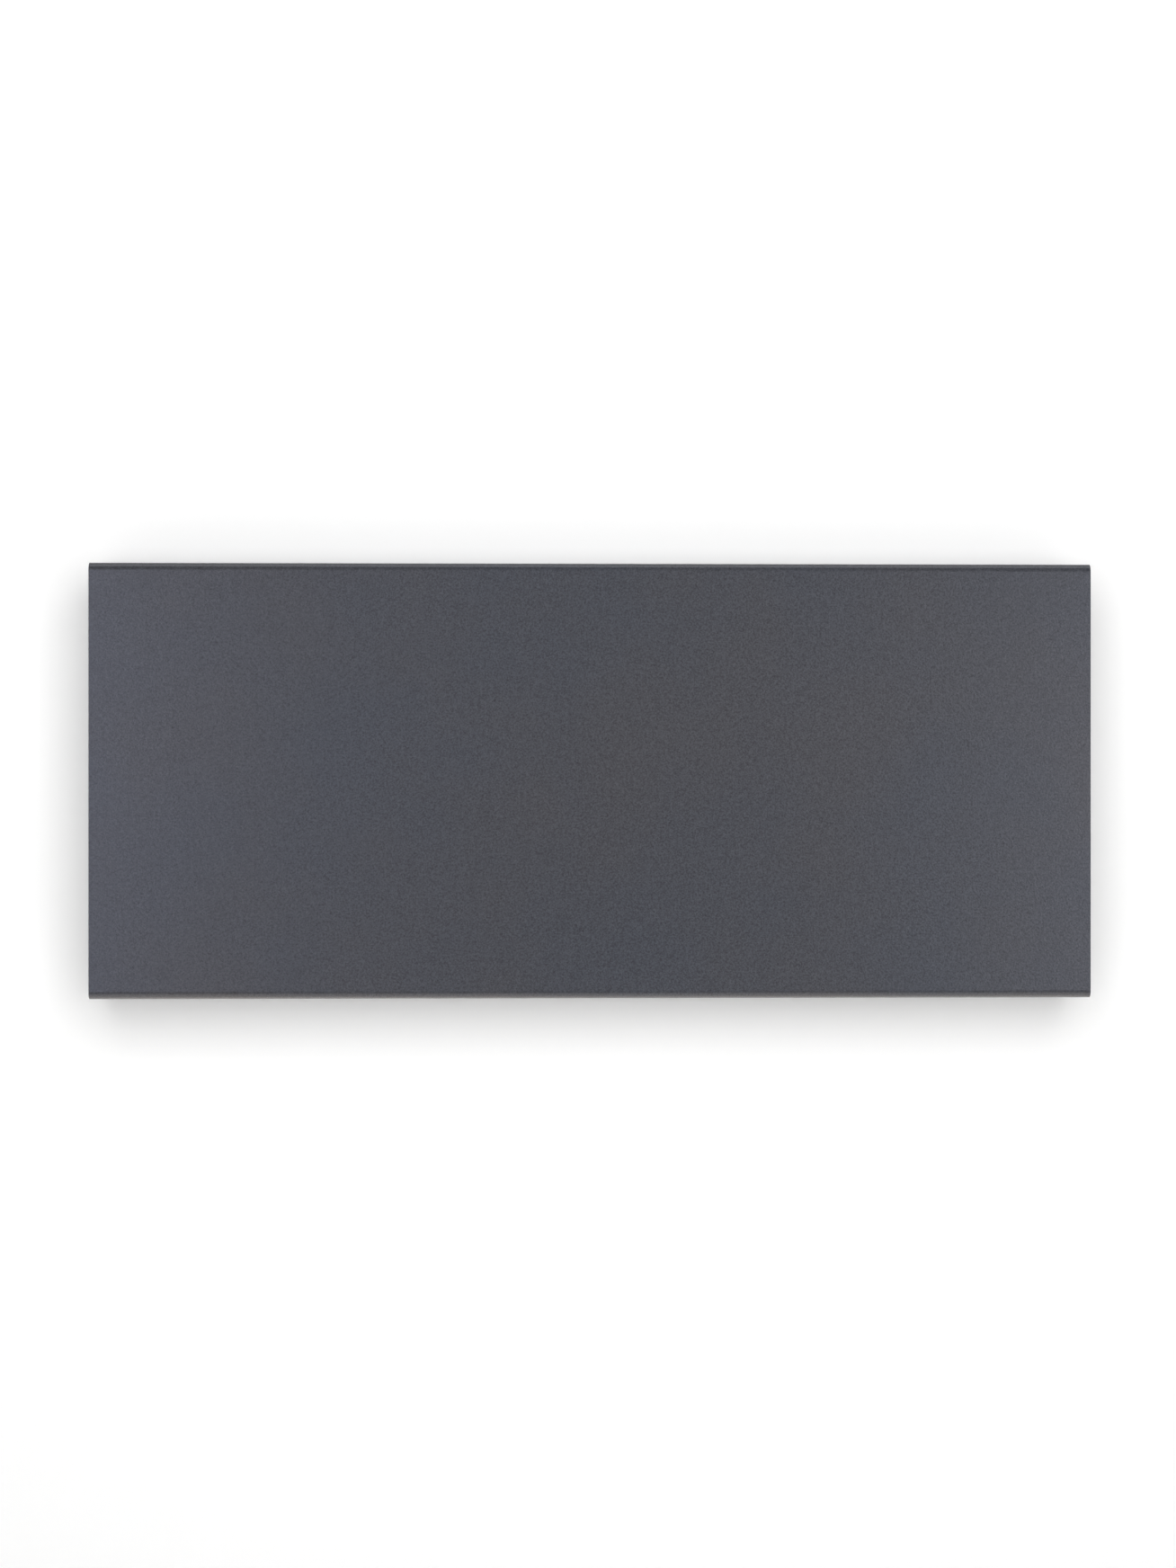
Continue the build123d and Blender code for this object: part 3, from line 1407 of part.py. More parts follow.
element_leads = leads(
    [
        (
            [
                element_lower,
                (board_ends[1][0], element_y, element_lower[2]),
                (board_ends[1][0], front_run_y, element_lower[2] + element_rise),
                (board_ends[1][0], front_run_y, board_tab_height),
                board_ends[1],
            ],
            [lead_bend, slow_bend, tight_bend],
        ),
        (
            [
                element_upper,
                (element_run_x, element_y, element_upper[2]),
                (element_run_x, element_y, cutout_lower[2]),
                cutout_lower,
            ],
            [tight_bend] * 2,
        ),
        (
            [
                cutout_upper,
                (board_ends[0][0], element_y, cutout_upper[2]),
                (board_ends[0][0], front_run_y, cutout_upper[2]),
                (board_ends[0][0], front_run_y, board_tab_height),
                board_ends[0],
            ],
            [tight_bend] * 3,
        ),
    ],
    lead_diameter,
)
save(element_leads, "element_leads")

sensor_lead_y = board_front - sensor_socket_size[2] / 2
sensor_lead = leads(
    [
        (
            [
                (sensor_x, -entry_to_wall, sensor_top),
                (sensor_x, -entry_to_wall, live_run_z),
                (sensor_socket_x, sensor_lead_y, live_run_z + sensor_rise),
                (sensor_socket_x, sensor_lead_y, sensor_socket_z - sensor_socket_size[1] / 2),
            ],
            [sensor_bend] * 2,
        )
    ],
    sensor_lead_diameter,
)
save(sensor_lead, "sensor_lead")
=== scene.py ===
import bpy
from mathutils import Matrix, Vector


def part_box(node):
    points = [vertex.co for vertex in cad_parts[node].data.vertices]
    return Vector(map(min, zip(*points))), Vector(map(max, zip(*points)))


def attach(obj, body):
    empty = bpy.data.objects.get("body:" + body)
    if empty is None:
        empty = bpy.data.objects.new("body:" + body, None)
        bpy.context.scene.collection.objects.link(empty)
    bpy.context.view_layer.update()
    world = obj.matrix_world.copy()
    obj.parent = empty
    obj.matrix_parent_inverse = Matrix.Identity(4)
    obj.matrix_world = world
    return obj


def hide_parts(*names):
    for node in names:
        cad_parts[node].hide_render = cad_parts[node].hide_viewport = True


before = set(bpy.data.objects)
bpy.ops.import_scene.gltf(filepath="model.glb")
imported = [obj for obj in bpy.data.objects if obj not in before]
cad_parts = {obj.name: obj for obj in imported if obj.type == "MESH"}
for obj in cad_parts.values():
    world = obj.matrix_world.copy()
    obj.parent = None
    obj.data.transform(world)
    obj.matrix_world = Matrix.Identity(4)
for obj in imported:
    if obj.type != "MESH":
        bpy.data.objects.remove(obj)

bpy.context.view_layer.update()

import bmesh
import math

from mathutils import Vector

# Wall bracket: two folded legs with lanced hooks, and the channel that joins them, in galvanised steel sheet
# 1.5 mm thick. The zinc froze in flat grains about 6 mm across, so the grey lies in patches that shine
# differently.


def effect_group(name, takes, gives):
    """A shader node group for one effect on a surface, with its own named sockets."""
    group = bpy.data.node_groups.new(name, "ShaderNodeTree")
    for label, value in takes.items():
        kind = "NodeSocketFloat"
        if isinstance(value, tuple):
            kind = "NodeSocketColor" if len(value) == 4 else "NodeSocketVector"
        socket = group.interface.new_socket(label, in_out="INPUT", socket_type=kind)
        socket.default_value = value
    for label, kind in gives.items():
        group.interface.new_socket(label, in_out="OUTPUT", socket_type="NodeSocket" + kind)
    return group, add(group, "NodeGroupInput").outputs, add(group, "NodeGroupOutput").inputs


def add(tree, kind, inputs=None, **settings):
    """A node with its settings. Each input is a value or another node's output."""
    made = tree.nodes.new(kind)
    for setting, value in settings.items():
        setattr(made, setting, value)
    for socket, value in (inputs or {}).items():
        if isinstance(value, bpy.types.NodeSocket):
            tree.links.new(value, made.inputs[socket])
        else:
            made.inputs[socket].default_value = value
    return made


def reckon(tree, operation, *values, clamp=False):
    """One step of arithmetic on values or outputs."""
    step = add(tree, "ShaderNodeMath", dict(enumerate(values)), operation=operation, use_clamp=clamp)
    return step.outputs[0]


def graded(tree, value, low, high, start=0.0, end=1.0):
    """A value spread from the range low to high over the range start to end, and held at its ends."""
    ends = {"Value": value, "From Min": low, "From Max": high, "To Min": start, "To Max": end}
    return add(tree, "ShaderNodeMapRange", ends).outputs["Result"]


def shaded(tree, colour, factor):
    """A colour made lighter or darker by a factor."""
    step = add(tree, "ShaderNodeVectorMath", {"Vector": colour, "Scale": factor}, operation="SCALE")
    return step.outputs["Vector"]


def blended(tree, factor, first, second):
    """Two colours mixed by a factor."""
    mixed = add(tree, "ShaderNodeMix", {0: factor, 6: first, 7: second}, data_type="RGBA")
    return mixed.outputs[2]


def noise_of(tree, size, detail=2.0, coordinates=None):
    """Cloudy noise whose lumps are about this many metres across."""
    if coordinates is None:
        coordinates = add(tree, "ShaderNodeTexCoord").outputs["Object"]
    fineness = reckon(tree, "DIVIDE", 1.0, size)
    inputs = {"Vector": coordinates, "Scale": fineness, "Detail": detail}
    return add(tree, "ShaderNodeTexNoise", inputs).outputs["Fac"]


zinc_grains, asked, made = effect_group(
    "zinc_grains",
    {"Metal": (0.5, 0.5, 0.5, 1.0), "Grain Size": 0.006, "Spread": 0.3, "Matt": 0.4},
    {"Color": "Color", "Roughness": "Float", "Height": "Float"},
)
place = add(zinc_grains, "ShaderNodeTexCoord").outputs["Object"]
cell_scale = reckon(zinc_grains, "DIVIDE", 1.0, asked["Grain Size"])
bent = add(
    zinc_grains,
    "ShaderNodeTexNoise",
    {"Vector": place, "Scale": cell_scale, "Detail": 3.0},
).outputs["Color"]
pushed = add(zinc_grains, "ShaderNodeVectorMath", {"Vector": bent, "Scale": 0.004}, operation="SCALE")
ragged = add(zinc_grains, "ShaderNodeVectorMath", {0: place, 1: pushed.outputs[0]}, operation="ADD")
cells = add(zinc_grains, "ShaderNodeTexVoronoi", {"Vector": ragged.outputs[0], "Scale": cell_scale})
tones = add(zinc_grains, "ShaderNodeSeparateColor", {"Color": cells.outputs["Color"]}).outputs
fine = noise_of(zinc_grains, 0.0005)
tone = reckon(zinc_grains, "SUBTRACT", tones["Red"], 0.5)
tone = reckon(zinc_grains, "MULTIPLY_ADD", tone, asked["Spread"], 1.0)
tone = reckon(zinc_grains, "MULTIPLY_ADD", reckon(zinc_grains, "SUBTRACT", fine, 0.5), 0.1, tone)
zinc_grains.links.new(shaded(zinc_grains, asked["Metal"], tone), made["Color"])
matt = reckon(zinc_grains, "SUBTRACT", tones["Green"], 0.5)
zinc_grains.links.new(reckon(zinc_grains, "MULTIPLY_ADD", matt, 0.2, asked["Matt"]), made["Roughness"])
zinc_grains.links.new(reckon(zinc_grains, "MULTIPLY_ADD", tones["Blue"], 0.3, fine), made["Height"])

settled_dust, asked, made = effect_group(
    "settled_dust",
    {"Color": (0.5, 0.5, 0.5, 1.0), "Roughness": 0.5, "Dust": (0.42, 0.4, 0.37, 1.0), "Amount": 0.1},
    {"Color": "Color", "Roughness": "Float"},
)
upright = add(settled_dust, "ShaderNodeTexCoord").outputs["Normal"]
rise = add(settled_dust, "ShaderNodeSeparateXYZ", {"Vector": upright}).outputs["Z"]
facing_up = graded(settled_dust, rise, 0.35, 1.0)
lumps = graded(settled_dust, noise_of(settled_dust, 0.012, 6.0), 0.3, 0.75)
cover = reckon(settled_dust, "MULTIPLY", facing_up, lumps)
cover = reckon(settled_dust, "MULTIPLY", cover, asked["Amount"], clamp=True)
settled_dust.links.new(blended(settled_dust, cover, asked["Color"], asked["Dust"]), made["Color"])
duller = reckon(settled_dust, "MULTIPLY_ADD", cover, 0.4, asked["Roughness"], clamp=True)
settled_dust.links.new(duller, made["Roughness"])

# Edges lighter and smoother than the face: rubbed coat on most parts, and on the front panel also a painted
# highlight along its edges.
edge_wear_and_highlight, asked, made = effect_group(
    "edge_wear_and_highlight",
    {
        "Color": (0.5, 0.5, 0.5, 1.0),
        "Roughness": 0.5,
        "Bare And Highlight": (0.6, 0.6, 0.6, 1.0),
        "Bare Roughness": 0.35,
        "Edge Width": 0.0004,
        "Amount": 0.3,
    },
    {"Color": "Color", "Roughness": "Float"},
)
rounded = add(edge_wear_and_highlight, "ShaderNodeBevel", {"Radius": asked["Edge Width"]}, samples=4).outputs[0]
plain = add(edge_wear_and_highlight, "ShaderNodeNewGeometry").outputs["Normal"]
turned = add(edge_wear_and_highlight, "ShaderNodeVectorMath", {0: rounded, 1: plain}, operation="DOT_PRODUCT")
bend = graded(edge_wear_and_highlight, turned.outputs["Value"], 0.995, 0.86)
broken = graded(edge_wear_and_highlight, noise_of(edge_wear_and_highlight, 0.003, 5.0), 0.35, 0.65)
wear_and_highlight = reckon(edge_wear_and_highlight, "MULTIPLY", bend, broken)
wear_and_highlight = reckon(edge_wear_and_highlight, "MULTIPLY", wear_and_highlight, asked["Amount"], clamp=True)
edge_wear_and_highlight.links.new(blended(edge_wear_and_highlight, wear_and_highlight, asked["Color"], asked["Bare And Highlight"]), made["Color"])
shift = reckon(edge_wear_and_highlight, "SUBTRACT", asked["Bare Roughness"], asked["Roughness"])
smoothed = reckon(edge_wear_and_highlight, "MULTIPLY_ADD", wear_and_highlight, shift, asked["Roughness"])
edge_wear_and_highlight.links.new(smoothed, made["Roughness"])


def finish_of(name, effect, values, relief, layers=(), **shader):
    """A material whose colour, roughness and relief come from an effect, with dust or wear laid over it."""
    material = bpy.data.materials.new(name)
    material.use_nodes = True
    tree = material.node_tree
    body = tree.nodes["Principled BSDF"]
    source = add(tree, "ShaderNodeGroup", values, node_tree=effect)
    colour, roughness = source.outputs["Color"], source.outputs["Roughness"]
    for layer, layer_values in layers:
        taken = {"Color": colour, "Roughness": roughness, **layer_values}
        top = add(tree, "ShaderNodeGroup", taken, node_tree=layer)
        colour, roughness = top.outputs["Color"], top.outputs["Roughness"]
    tree.links.new(colour, body.inputs["Base Color"])
    tree.links.new(roughness, body.inputs["Roughness"])
    raised = add(tree, "ShaderNodeBump", {"Height": source.outputs["Height"], "Distance": relief})
    tree.links.new(raised.outputs["Normal"], body.inputs["Normal"])
    for socket, value in shader.items():
        body.inputs[socket.replace("_", " ")].default_value = value
    return material


def give(finish, *nodes):
    """Puts a finish on CAD nodes."""
    for name in nodes:
        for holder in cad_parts[name].material_slots:
            holder.material = finish


galvanised_sheet = finish_of(
    "galvanised_sheet",
    zinc_grains,
    {"Metal": (0.5, 0.52, 0.545, 1.0), "Grain Size": 0.006, "Spread": 0.34, "Matt": 0.4},
    0.00002,
    layers=[(settled_dust, {"Amount": 0.12})],
    Metallic=0.85,
)
give(galvanised_sheet, "bracket_left_leg", "bracket_right_leg", "bracket_crossbar")

# Rivets, studs and screws: cold-headed steel wire, zinc plated and passivated to a bright, faintly blue
# shine. Fine lines from drawing the wire run over the heads.

drawn_lines, asked, made = effect_group(
    "drawn_lines",
    {
        "Metal": (0.6, 0.6, 0.6, 1.0),
        "Line Size": 0.0003,
        "Run": (1.0, 1.0, 1.0),
        "Spread": 0.15,
        "Matt": 0.3,
    },
    {"Color": "Color", "Roughness": "Float", "Height": "Float"},
)
place = add(drawn_lines, "ShaderNodeTexCoord").outputs["Object"]
drawn = add(drawn_lines, "ShaderNodeVectorMath", {0: place, 1: asked["Run"]}, operation="MULTIPLY")
lines = noise_of(drawn_lines, asked["Line Size"], 3.0, drawn.outputs[0])
clouds = noise_of(drawn_lines, 0.009, 3.0)
tone = reckon(drawn_lines, "SUBTRACT", reckon(drawn_lines, "ADD", lines, clouds), 1.0)
tone = reckon(drawn_lines, "MULTIPLY_ADD", tone, asked["Spread"], 1.0)
drawn_lines.links.new(shaded(drawn_lines, asked["Metal"], tone), made["Color"])
dull = reckon(drawn_lines, "SUBTRACT", clouds, 0.5)
dull = reckon(drawn_lines, "MULTIPLY_ADD", dull, 0.25, asked["Matt"])
drawn_lines.links.new(dull, made["Roughness"])
drawn_lines.links.new(lines, made["Height"])

bright_plating = finish_of(
    "bright_plating",
    drawn_lines,
    {"Metal": (0.62, 0.63, 0.64, 1.0), "Line Size": 0.0004, "Spread": 0.2, "Matt": 0.28},
    0.00001,
    Metallic=1.0,
)
give(bright_plating, "bracket_rivets", "lock_studs", "chassis_rivets", "shield_rivets")
give(bright_plating, "end_cap_screws", "board_screws")

# Wall bumpers: moulded rubber pads pushed into the legs, matt black with a faint grey bloom.
# The casing's back rests against them.

moulded_grain, asked, made = effect_group(
    "moulded_grain",
    {"Plastic": (0.05, 0.05, 0.05, 1.0), "Grain Size": 0.0005, "Spread": 0.15, "Matt": 0.5},
    {"Color": "Color", "Roughness": "Float", "Height": "Float"},
)
pits = noise_of(moulded_grain, asked["Grain Size"], 2.0)
flow = noise_of(moulded_grain, 0.02, 3.0)
tone = reckon(moulded_grain, "SUBTRACT", reckon(moulded_grain, "ADD", pits, flow), 1.0)
tone = reckon(moulded_grain, "MULTIPLY_ADD", tone, asked["Spread"], 1.0)
moulded_grain.links.new(shaded(moulded_grain, asked["Plastic"], tone), made["Color"])
dull = reckon(moulded_grain, "SUBTRACT", flow, 0.5)
dull = reckon(moulded_grain, "MULTIPLY_ADD", dull, 0.18, asked["Matt"])
dull = reckon(moulded_grain, "MULTIPLY_ADD", reckon(moulded_grain, "SUBTRACT", pits, 0.5), 0.1, dull)
moulded_grain.links.new(dull, made["Roughness"])
moulded_grain.links.new(pits, made["Height"])

bumper_rubber = finish_of(
    "bumper_rubber",
    moulded_grain,
    {"Plastic": (0.03, 0.03, 0.031, 1.0), "Grain Size": 0.0009, "Spread": 0.35, "Matt": 0.78},
    0.00004,
    layers=[(settled_dust, {"Amount": 0.15})],
)
give(bumper_rubber, "wall_bumpers")

# Turn locks: glass-filled nylon levers that snap over the studs, dark grey, with a spark-eroded grain.
# Thumbs polish the lever's edges a little.

lock_nylon = finish_of(
    "lock_nylon",
    moulded_grain,
    {"Plastic": (0.085, 0.087, 0.095, 1.0), "Grain Size": 0.0006, "Spread": 0.22, "Matt": 0.5},
    0.00003,
    layers=[
        (edge_wear_and_highlight, {"Bare And Highlight": (0.16, 0.163, 0.175, 1.0), "Edge Width": 0.0006, "Amount": 0.5}),
        (settled_dust, {"Amount": 0.1}),
    ],
)
give(lock_nylon, "lock_left", "lock_right")

# Rear casing: one steel sheet 0.8 mm thick, punched and folded to a pan, in the same family of powder coat as
# the front but plainer. The coat is fine and even, and thin on the edges of the air slots.

powder_coat, asked, made = effect_group(
    "powder_coat",
    {
        "Coat": (0.08, 0.08, 0.09, 1.0),
        "Cloud": (0.08, 0.08, 0.09, 1.0),
        "Fleck": (0.16, 0.165, 0.18, 1.0),
        "Fleck Size": 0.0007,
        "Fleck Share": 0.4,
        "Spread": 0.1,
        "Peel Size": 0.0025,
        "Matt": 0.42,
    },
    {"Color": "Color", "Roughness": "Float", "Height": "Float"},
)
grains = noise_of(powder_coat, asked["Fleck Size"], 3.0)
lower_end = reckon(powder_coat, "SUBTRACT", 0.72, reckon(powder_coat, "MULTIPLY", asked["Fleck Share"], 0.4))
flecks = graded(powder_coat, grains, lower_end, reckon(powder_coat, "ADD", lower_end, 0.22))
peel = noise_of(powder_coat, asked["Peel Size"], 2.0)
clouds = graded(powder_coat, noise_of(powder_coat, 0.16, 5.0), 0.35, 0.65)
tone = reckon(powder_coat, "SUBTRACT", reckon(powder_coat, "ADD", peel, grains), 1.0)
tone = reckon(powder_coat, "MULTIPLY_ADD", tone, asked["Spread"], 1.0)
clouded = blended(powder_coat, clouds, asked["Coat"], asked["Cloud"])
ground = shaded(powder_coat, clouded, tone)
powder_coat.links.new(blended(powder_coat, flecks, ground, asked["Fleck"]), made["Color"])
dull = reckon(powder_coat, "MULTIPLY_ADD", reckon(powder_coat, "SUBTRACT", peel, 0.5), 0.08, asked["Matt"])
dull = reckon(powder_coat, "MULTIPLY_ADD", flecks, -0.08, dull)
powder_coat.links.new(dull, made["Roughness"])
powder_coat.links.new(reckon(powder_coat, "MULTIPLY_ADD", grains, 0.25, peel), made["Height"])

casing_coat = finish_of(
    "casing_coat",
    powder_coat,
    {
        "Coat": (0.084, 0.088, 0.099, 1.0),
        "Cloud": (0.089, 0.09, 0.098, 1.0),
        "Fleck": (0.145, 0.149, 0.162, 1.0),
        "Fleck Size": 0.0006,
        "Fleck Share": 0.35,
        "Spread": 0.12,
        "Peel Size": 0.0022,
        "Matt": 0.46,
    },
    0.00003,
    layers=[
        (edge_wear_and_highlight, {"Bare And Highlight": (0.24, 0.245, 0.26, 1.0), "Edge Width": 0.0005, "Amount": 0.35}),
        (settled_dust, {"Amount": 0.16}),
    ],
    Metallic=0.15,
)
give(casing_coat, "rear_casing")

# Hook shoes: natural nylon mouldings clipped into the casing's hook slots, milky and slightly see-through.
# They keep the hooks from scratching the coat and from creaking as the sheet warms.

shoe_nylon = finish_of(
    "shoe_nylon",
    moulded_grain,
    {"Plastic": (0.7, 0.69, 0.645, 1.0), "Grain Size": 0.0012, "Spread": 0.08, "Matt": 0.42},
    0.00002,
    layers=[(settled_dust, {"Dust": (0.3, 0.29, 0.27, 1.0), "Amount": 0.1})],
    Subsurface_Weight=0.25,
    Subsurface_Scale=0.002,
)
give(shoe_nylon, "hook_shoes", "board_standoffs")

# Chimney: two galvanised side plates, 1 mm thick, flanged and riveted to the casing. They carry the element.
# The zinc's grains are smaller on this thinner sheet, and the heat has dulled them.

chimney_sheet = finish_of(
    "chimney_sheet",
    zinc_grains,
    {"Metal": (0.46, 0.47, 0.48, 1.0), "Grain Size": 0.004, "Spread": 0.3, "Matt": 0.46},
    0.00002,
    Metallic=0.85,
)
give(chimney_sheet, "chimney_plate_left", "chimney_plate_right")

# Heat shields: soft rolled aluminium, 0.5 mm thick, riveted in front of the element and behind it.
# The mill's rolling lines run along the sheet.

rolled_aluminium = finish_of(
    "rolled_aluminium",
    drawn_lines,
    {
        "Metal": (0.7, 0.7, 0.71, 1.0),
        "Line Size": 0.0006,
        "Run": (0.03, 1.0, 1.0),
        "Spread": 0.22,
        "Matt": 0.34,
    },
    0.000015,
    Metallic=1.0,
)
give(rolled_aluminium, "front_heat_shield", "rear_heat_shield")

# Heating element: an aluminium extrusion with fine fins, cut to length and pressed on the heating rod.
# The die leaves lines along every face, and the oxide is whiter than on rolled sheet.

extruded_aluminium = finish_of(
    "extruded_aluminium",
    drawn_lines,
    {
        "Metal": (0.6, 0.6, 0.6, 1.0),
        "Line Size": 0.0004,
        "Run": (0.015, 1.0, 1.0),
        "Spread": 0.3,
        "Matt": 0.42,
    },
    0.00002,
    Metallic=0.9,
)
give(extruded_aluminium, "element_fins")

# Heating rod: a drawn stainless tube packed with magnesia. Its ends stand out of the extrusion, and red heat
# at the works has left straw and blue bands on them.

heat_tints, asked, made = effect_group(
    "heat_tints",
    {"Steel": (0.3, 0.29, 0.27, 1.0), "Straw": (0.32, 0.2, 0.09, 1.0), "Blue": (0.09, 0.11, 0.18, 1.0)},
    {"Color": "Color", "Roughness": "Float", "Height": "Float"},
)
place = add(heat_tints, "ShaderNodeTexCoord").outputs["Object"]
drawn = add(heat_tints, "ShaderNodeVectorMath", {0: place, 1: (0.02, 1.0, 1.0)}, operation="MULTIPLY")
scored = noise_of(heat_tints, 0.0003, 3.0, drawn.outputs[0])
bands = noise_of(heat_tints, 0.011, 2.0)
straw_part = graded(heat_tints, bands, 0.42, 0.56)
blue_part = graded(heat_tints, bands, 0.55, 0.68)
tinted = blended(heat_tints, straw_part, asked["Steel"], asked["Straw"])
tinted = blended(heat_tints, blue_part, tinted, asked["Blue"])
lit = reckon(heat_tints, "MULTIPLY_ADD", scored, 0.5, 0.75)
heat_tints.links.new(shaded(heat_tints, tinted, lit), made["Color"])
heat_tints.links.new(graded(heat_tints, bands, 0.3, 0.7, 0.32, 0.5), made["Roughness"])
heat_tints.links.new(scored, made["Height"])

heated_steel = finish_of("heated_steel", heat_tints, {}, 0.00001, Metallic=0.95)
give(heated_steel, "element_sheath")

# Bushes and end seal: pressed and glazed steatite that holds the hot rod clear of the side plates.
# The glaze is off-white with small iron specks.

glazed_steatite, asked, made = effect_group(
    "glazed_steatite",
    {"Glaze": (0.8, 0.78, 0.72, 1.0), "Speck": (0.3, 0.22, 0.15, 1.0), "Speck Size": 0.0011},
    {"Color": "Color", "Roughness": "Float", "Height": "Float"},
)
dots = noise_of(glazed_steatite, asked["Speck Size"], 2.0)
specks = graded(glazed_steatite, dots, 0.68, 0.76, 0.0, 0.6)
wash = noise_of(glazed_steatite, 0.008, 3.0)
ground = shaded(glazed_steatite, asked["Glaze"], reckon(glazed_steatite, "MULTIPLY_ADD", wash, 0.14, 0.93))
glazed_steatite.links.new(blended(glazed_steatite, specks, ground, asked["Speck"]), made["Color"])
glazed_steatite.links.new(graded(glazed_steatite, wash, 0.3, 0.7, 0.16, 0.34), made["Roughness"])
glazed_steatite.links.new(wash, made["Height"])

steatite = finish_of("steatite", glazed_steatite, {}, 0.00005, Coat_Weight=0.4, Coat_Roughness=0.12)
give(steatite, "element_bushes", "element_end_seal")

# Thermal cut-out: a pressed aluminium cap on a phenolic body, riveted to the right side plate.
# The cap is spun and bright, and the body is brown-black with a woody filler.

pressed_cap = finish_of(
    "pressed_cap",
    drawn_lines,
    {"Metal": (0.72, 0.72, 0.73, 1.0), "Line Size": 0.0003, "Spread": 0.12, "Matt": 0.26},
    0.00001,
    Metallic=1.0,
)
give(pressed_cap, "cutout_cap")

phenolic_moulding = finish_of(
    "phenolic_moulding",
    moulded_grain,
    {"Plastic": (0.06, 0.042, 0.033, 1.0), "Grain Size": 0.0008, "Spread": 0.5, "Matt": 0.36},
    0.00002,
)
give(phenolic_moulding, "thermal_cutout")

# Cable gland, its nut and the terminal block: black nylon gland through the casing's floor, and a white
# polyamide block with brass inserts behind it. No cord is fitted, so the gland's bore stands open.

gland_nylon = finish_of(
    "gland_nylon",
    moulded_grain,
    {"Plastic": (0.022, 0.022, 0.024, 1.0), "Grain Size": 0.0007, "Spread": 0.2, "Matt": 0.4},
    0.00002,
    layers=[(edge_wear_and_highlight, {"Bare And Highlight": (0.06, 0.06, 0.064, 1.0), "Edge Width": 0.0004, "Amount": 0.5})],
)
give(gland_nylon, "cable_gland", "gland_nut")

block_polyamide = finish_of(
    "block_polyamide",
    moulded_grain,
    {"Plastic": (0.66, 0.655, 0.63, 1.0), "Grain Size": 0.0008, "Spread": 0.07, "Matt": 0.4},
    0.00002,
    Subsurface_Weight=0.15,
    Subsurface_Scale=0.001,
)
give(block_polyamide, "terminal_block", "board_sockets")

# Rocker switch: a black polycarbonate housing snapped into the right end cap, and the rocker on its two pins.
# The usual line and ring are pad-printed on the rocker's two faces in white ink.

switch_plastic = finish_of(
    "switch_plastic",
    moulded_grain,
    {"Plastic": (0.014, 0.014, 0.016, 1.0), "Grain Size": 0.0006, "Spread": 0.2, "Matt": 0.34},
    0.00002,
    layers=[
        (edge_wear_and_highlight, {"Bare And Highlight": (0.045, 0.045, 0.05, 1.0), "Edge Width": 0.0003, "Amount": 0.6}),
        (settled_dust, {"Amount": 0.08}),
    ],
)
give(switch_plastic, "switch_housing")

rocker_plastic = finish_of(
    "rocker_plastic",
    moulded_grain,
    {"Plastic": (0.012, 0.012, 0.014, 1.0), "Grain Size": 0.002, "Spread": 0.15, "Matt": 0.16},
    0.00001,
    layers=[(settled_dust, {"Amount": 0.06})],
    Coat_Weight=0.3,
    Coat_Roughness=0.08,
)
give(rocker_plastic, "power_rocker")

printed_ink = finish_of(
    "printed_ink",
    moulded_grain,
    {"Plastic": (0.72, 0.73, 0.74, 1.0), "Grain Size": 0.0002, "Spread": 0.1, "Matt": 0.55},
    0.00001,
)


ink_thickness = 0.00004


def ink_layer(name, shapes, origin, across, up, body, finish):
    """Printed marks: flat outlines laid on a plane and given the ink's thickness."""
    across, up = Vector(across).normalized(), Vector(up).normalized()
    outward = across.cross(up)
    form = bmesh.new()
    for outline in shapes:
        foot = [form.verts.new(Vector(origin) + across * a + up * b) for a, b in outline]
        top = [form.verts.new(corner.co + outward * ink_thickness) for corner in foot]
        form.faces.new(top)
        form.faces.new(list(reversed(foot)))
        for n in range(len(foot)):
            m = (n + 1) % len(foot)
            form.faces.new((foot[n], foot[m], top[m], top[n]))
    bmesh.ops.recalc_face_normals(form, faces=form.faces)
    mesh = bpy.data.meshes.new(name)
    form.to_mesh(mesh)
    form.free()
    mesh.materials.append(finish)
    piece = bpy.data.objects.new(name, mesh)
    bpy.context.scene.collection.objects.link(piece)
    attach(piece, body)


def bar_shape(middle, length, width, turn=0.0):
    """A bar with rounded ends."""
    outline = []
    reach, radius = length / 2 - width / 2, width / 2
    for side in (1, -1):
        for n in range(9):
            angle = -math.pi / 2 + math.pi * n / 8 + (0.0 if side > 0 else math.pi)
            a = side * reach + radius * math.cos(angle)
            b = radius * math.sin(angle)
            outline.append(
                (
                    middle[0] + a * math.cos(turn) - b * math.sin(turn),
                    middle[1] + a * math.sin(turn) + b * math.cos(turn),
                )
            )
    return outline


def ring_shapes(radius, width, start, end, steps=16):
    """An arc of a ring from one angle to another, as two halves that meet in its middle."""
    middle = (start + end) / 2
    shapes = []
    for first, last in ((start, middle), (middle, end)):
        angles = [first + (last - first) * n / steps for n in range(steps + 1)]
        outer = [((radius + width / 2) * math.cos(t), (radius + width / 2) * math.sin(t)) for t in angles]
        inner = [((radius - width / 2) * math.cos(t), (radius - width / 2) * math.sin(t)) for t in angles]
        shapes.append(outer + inner[::-1])
    return shapes


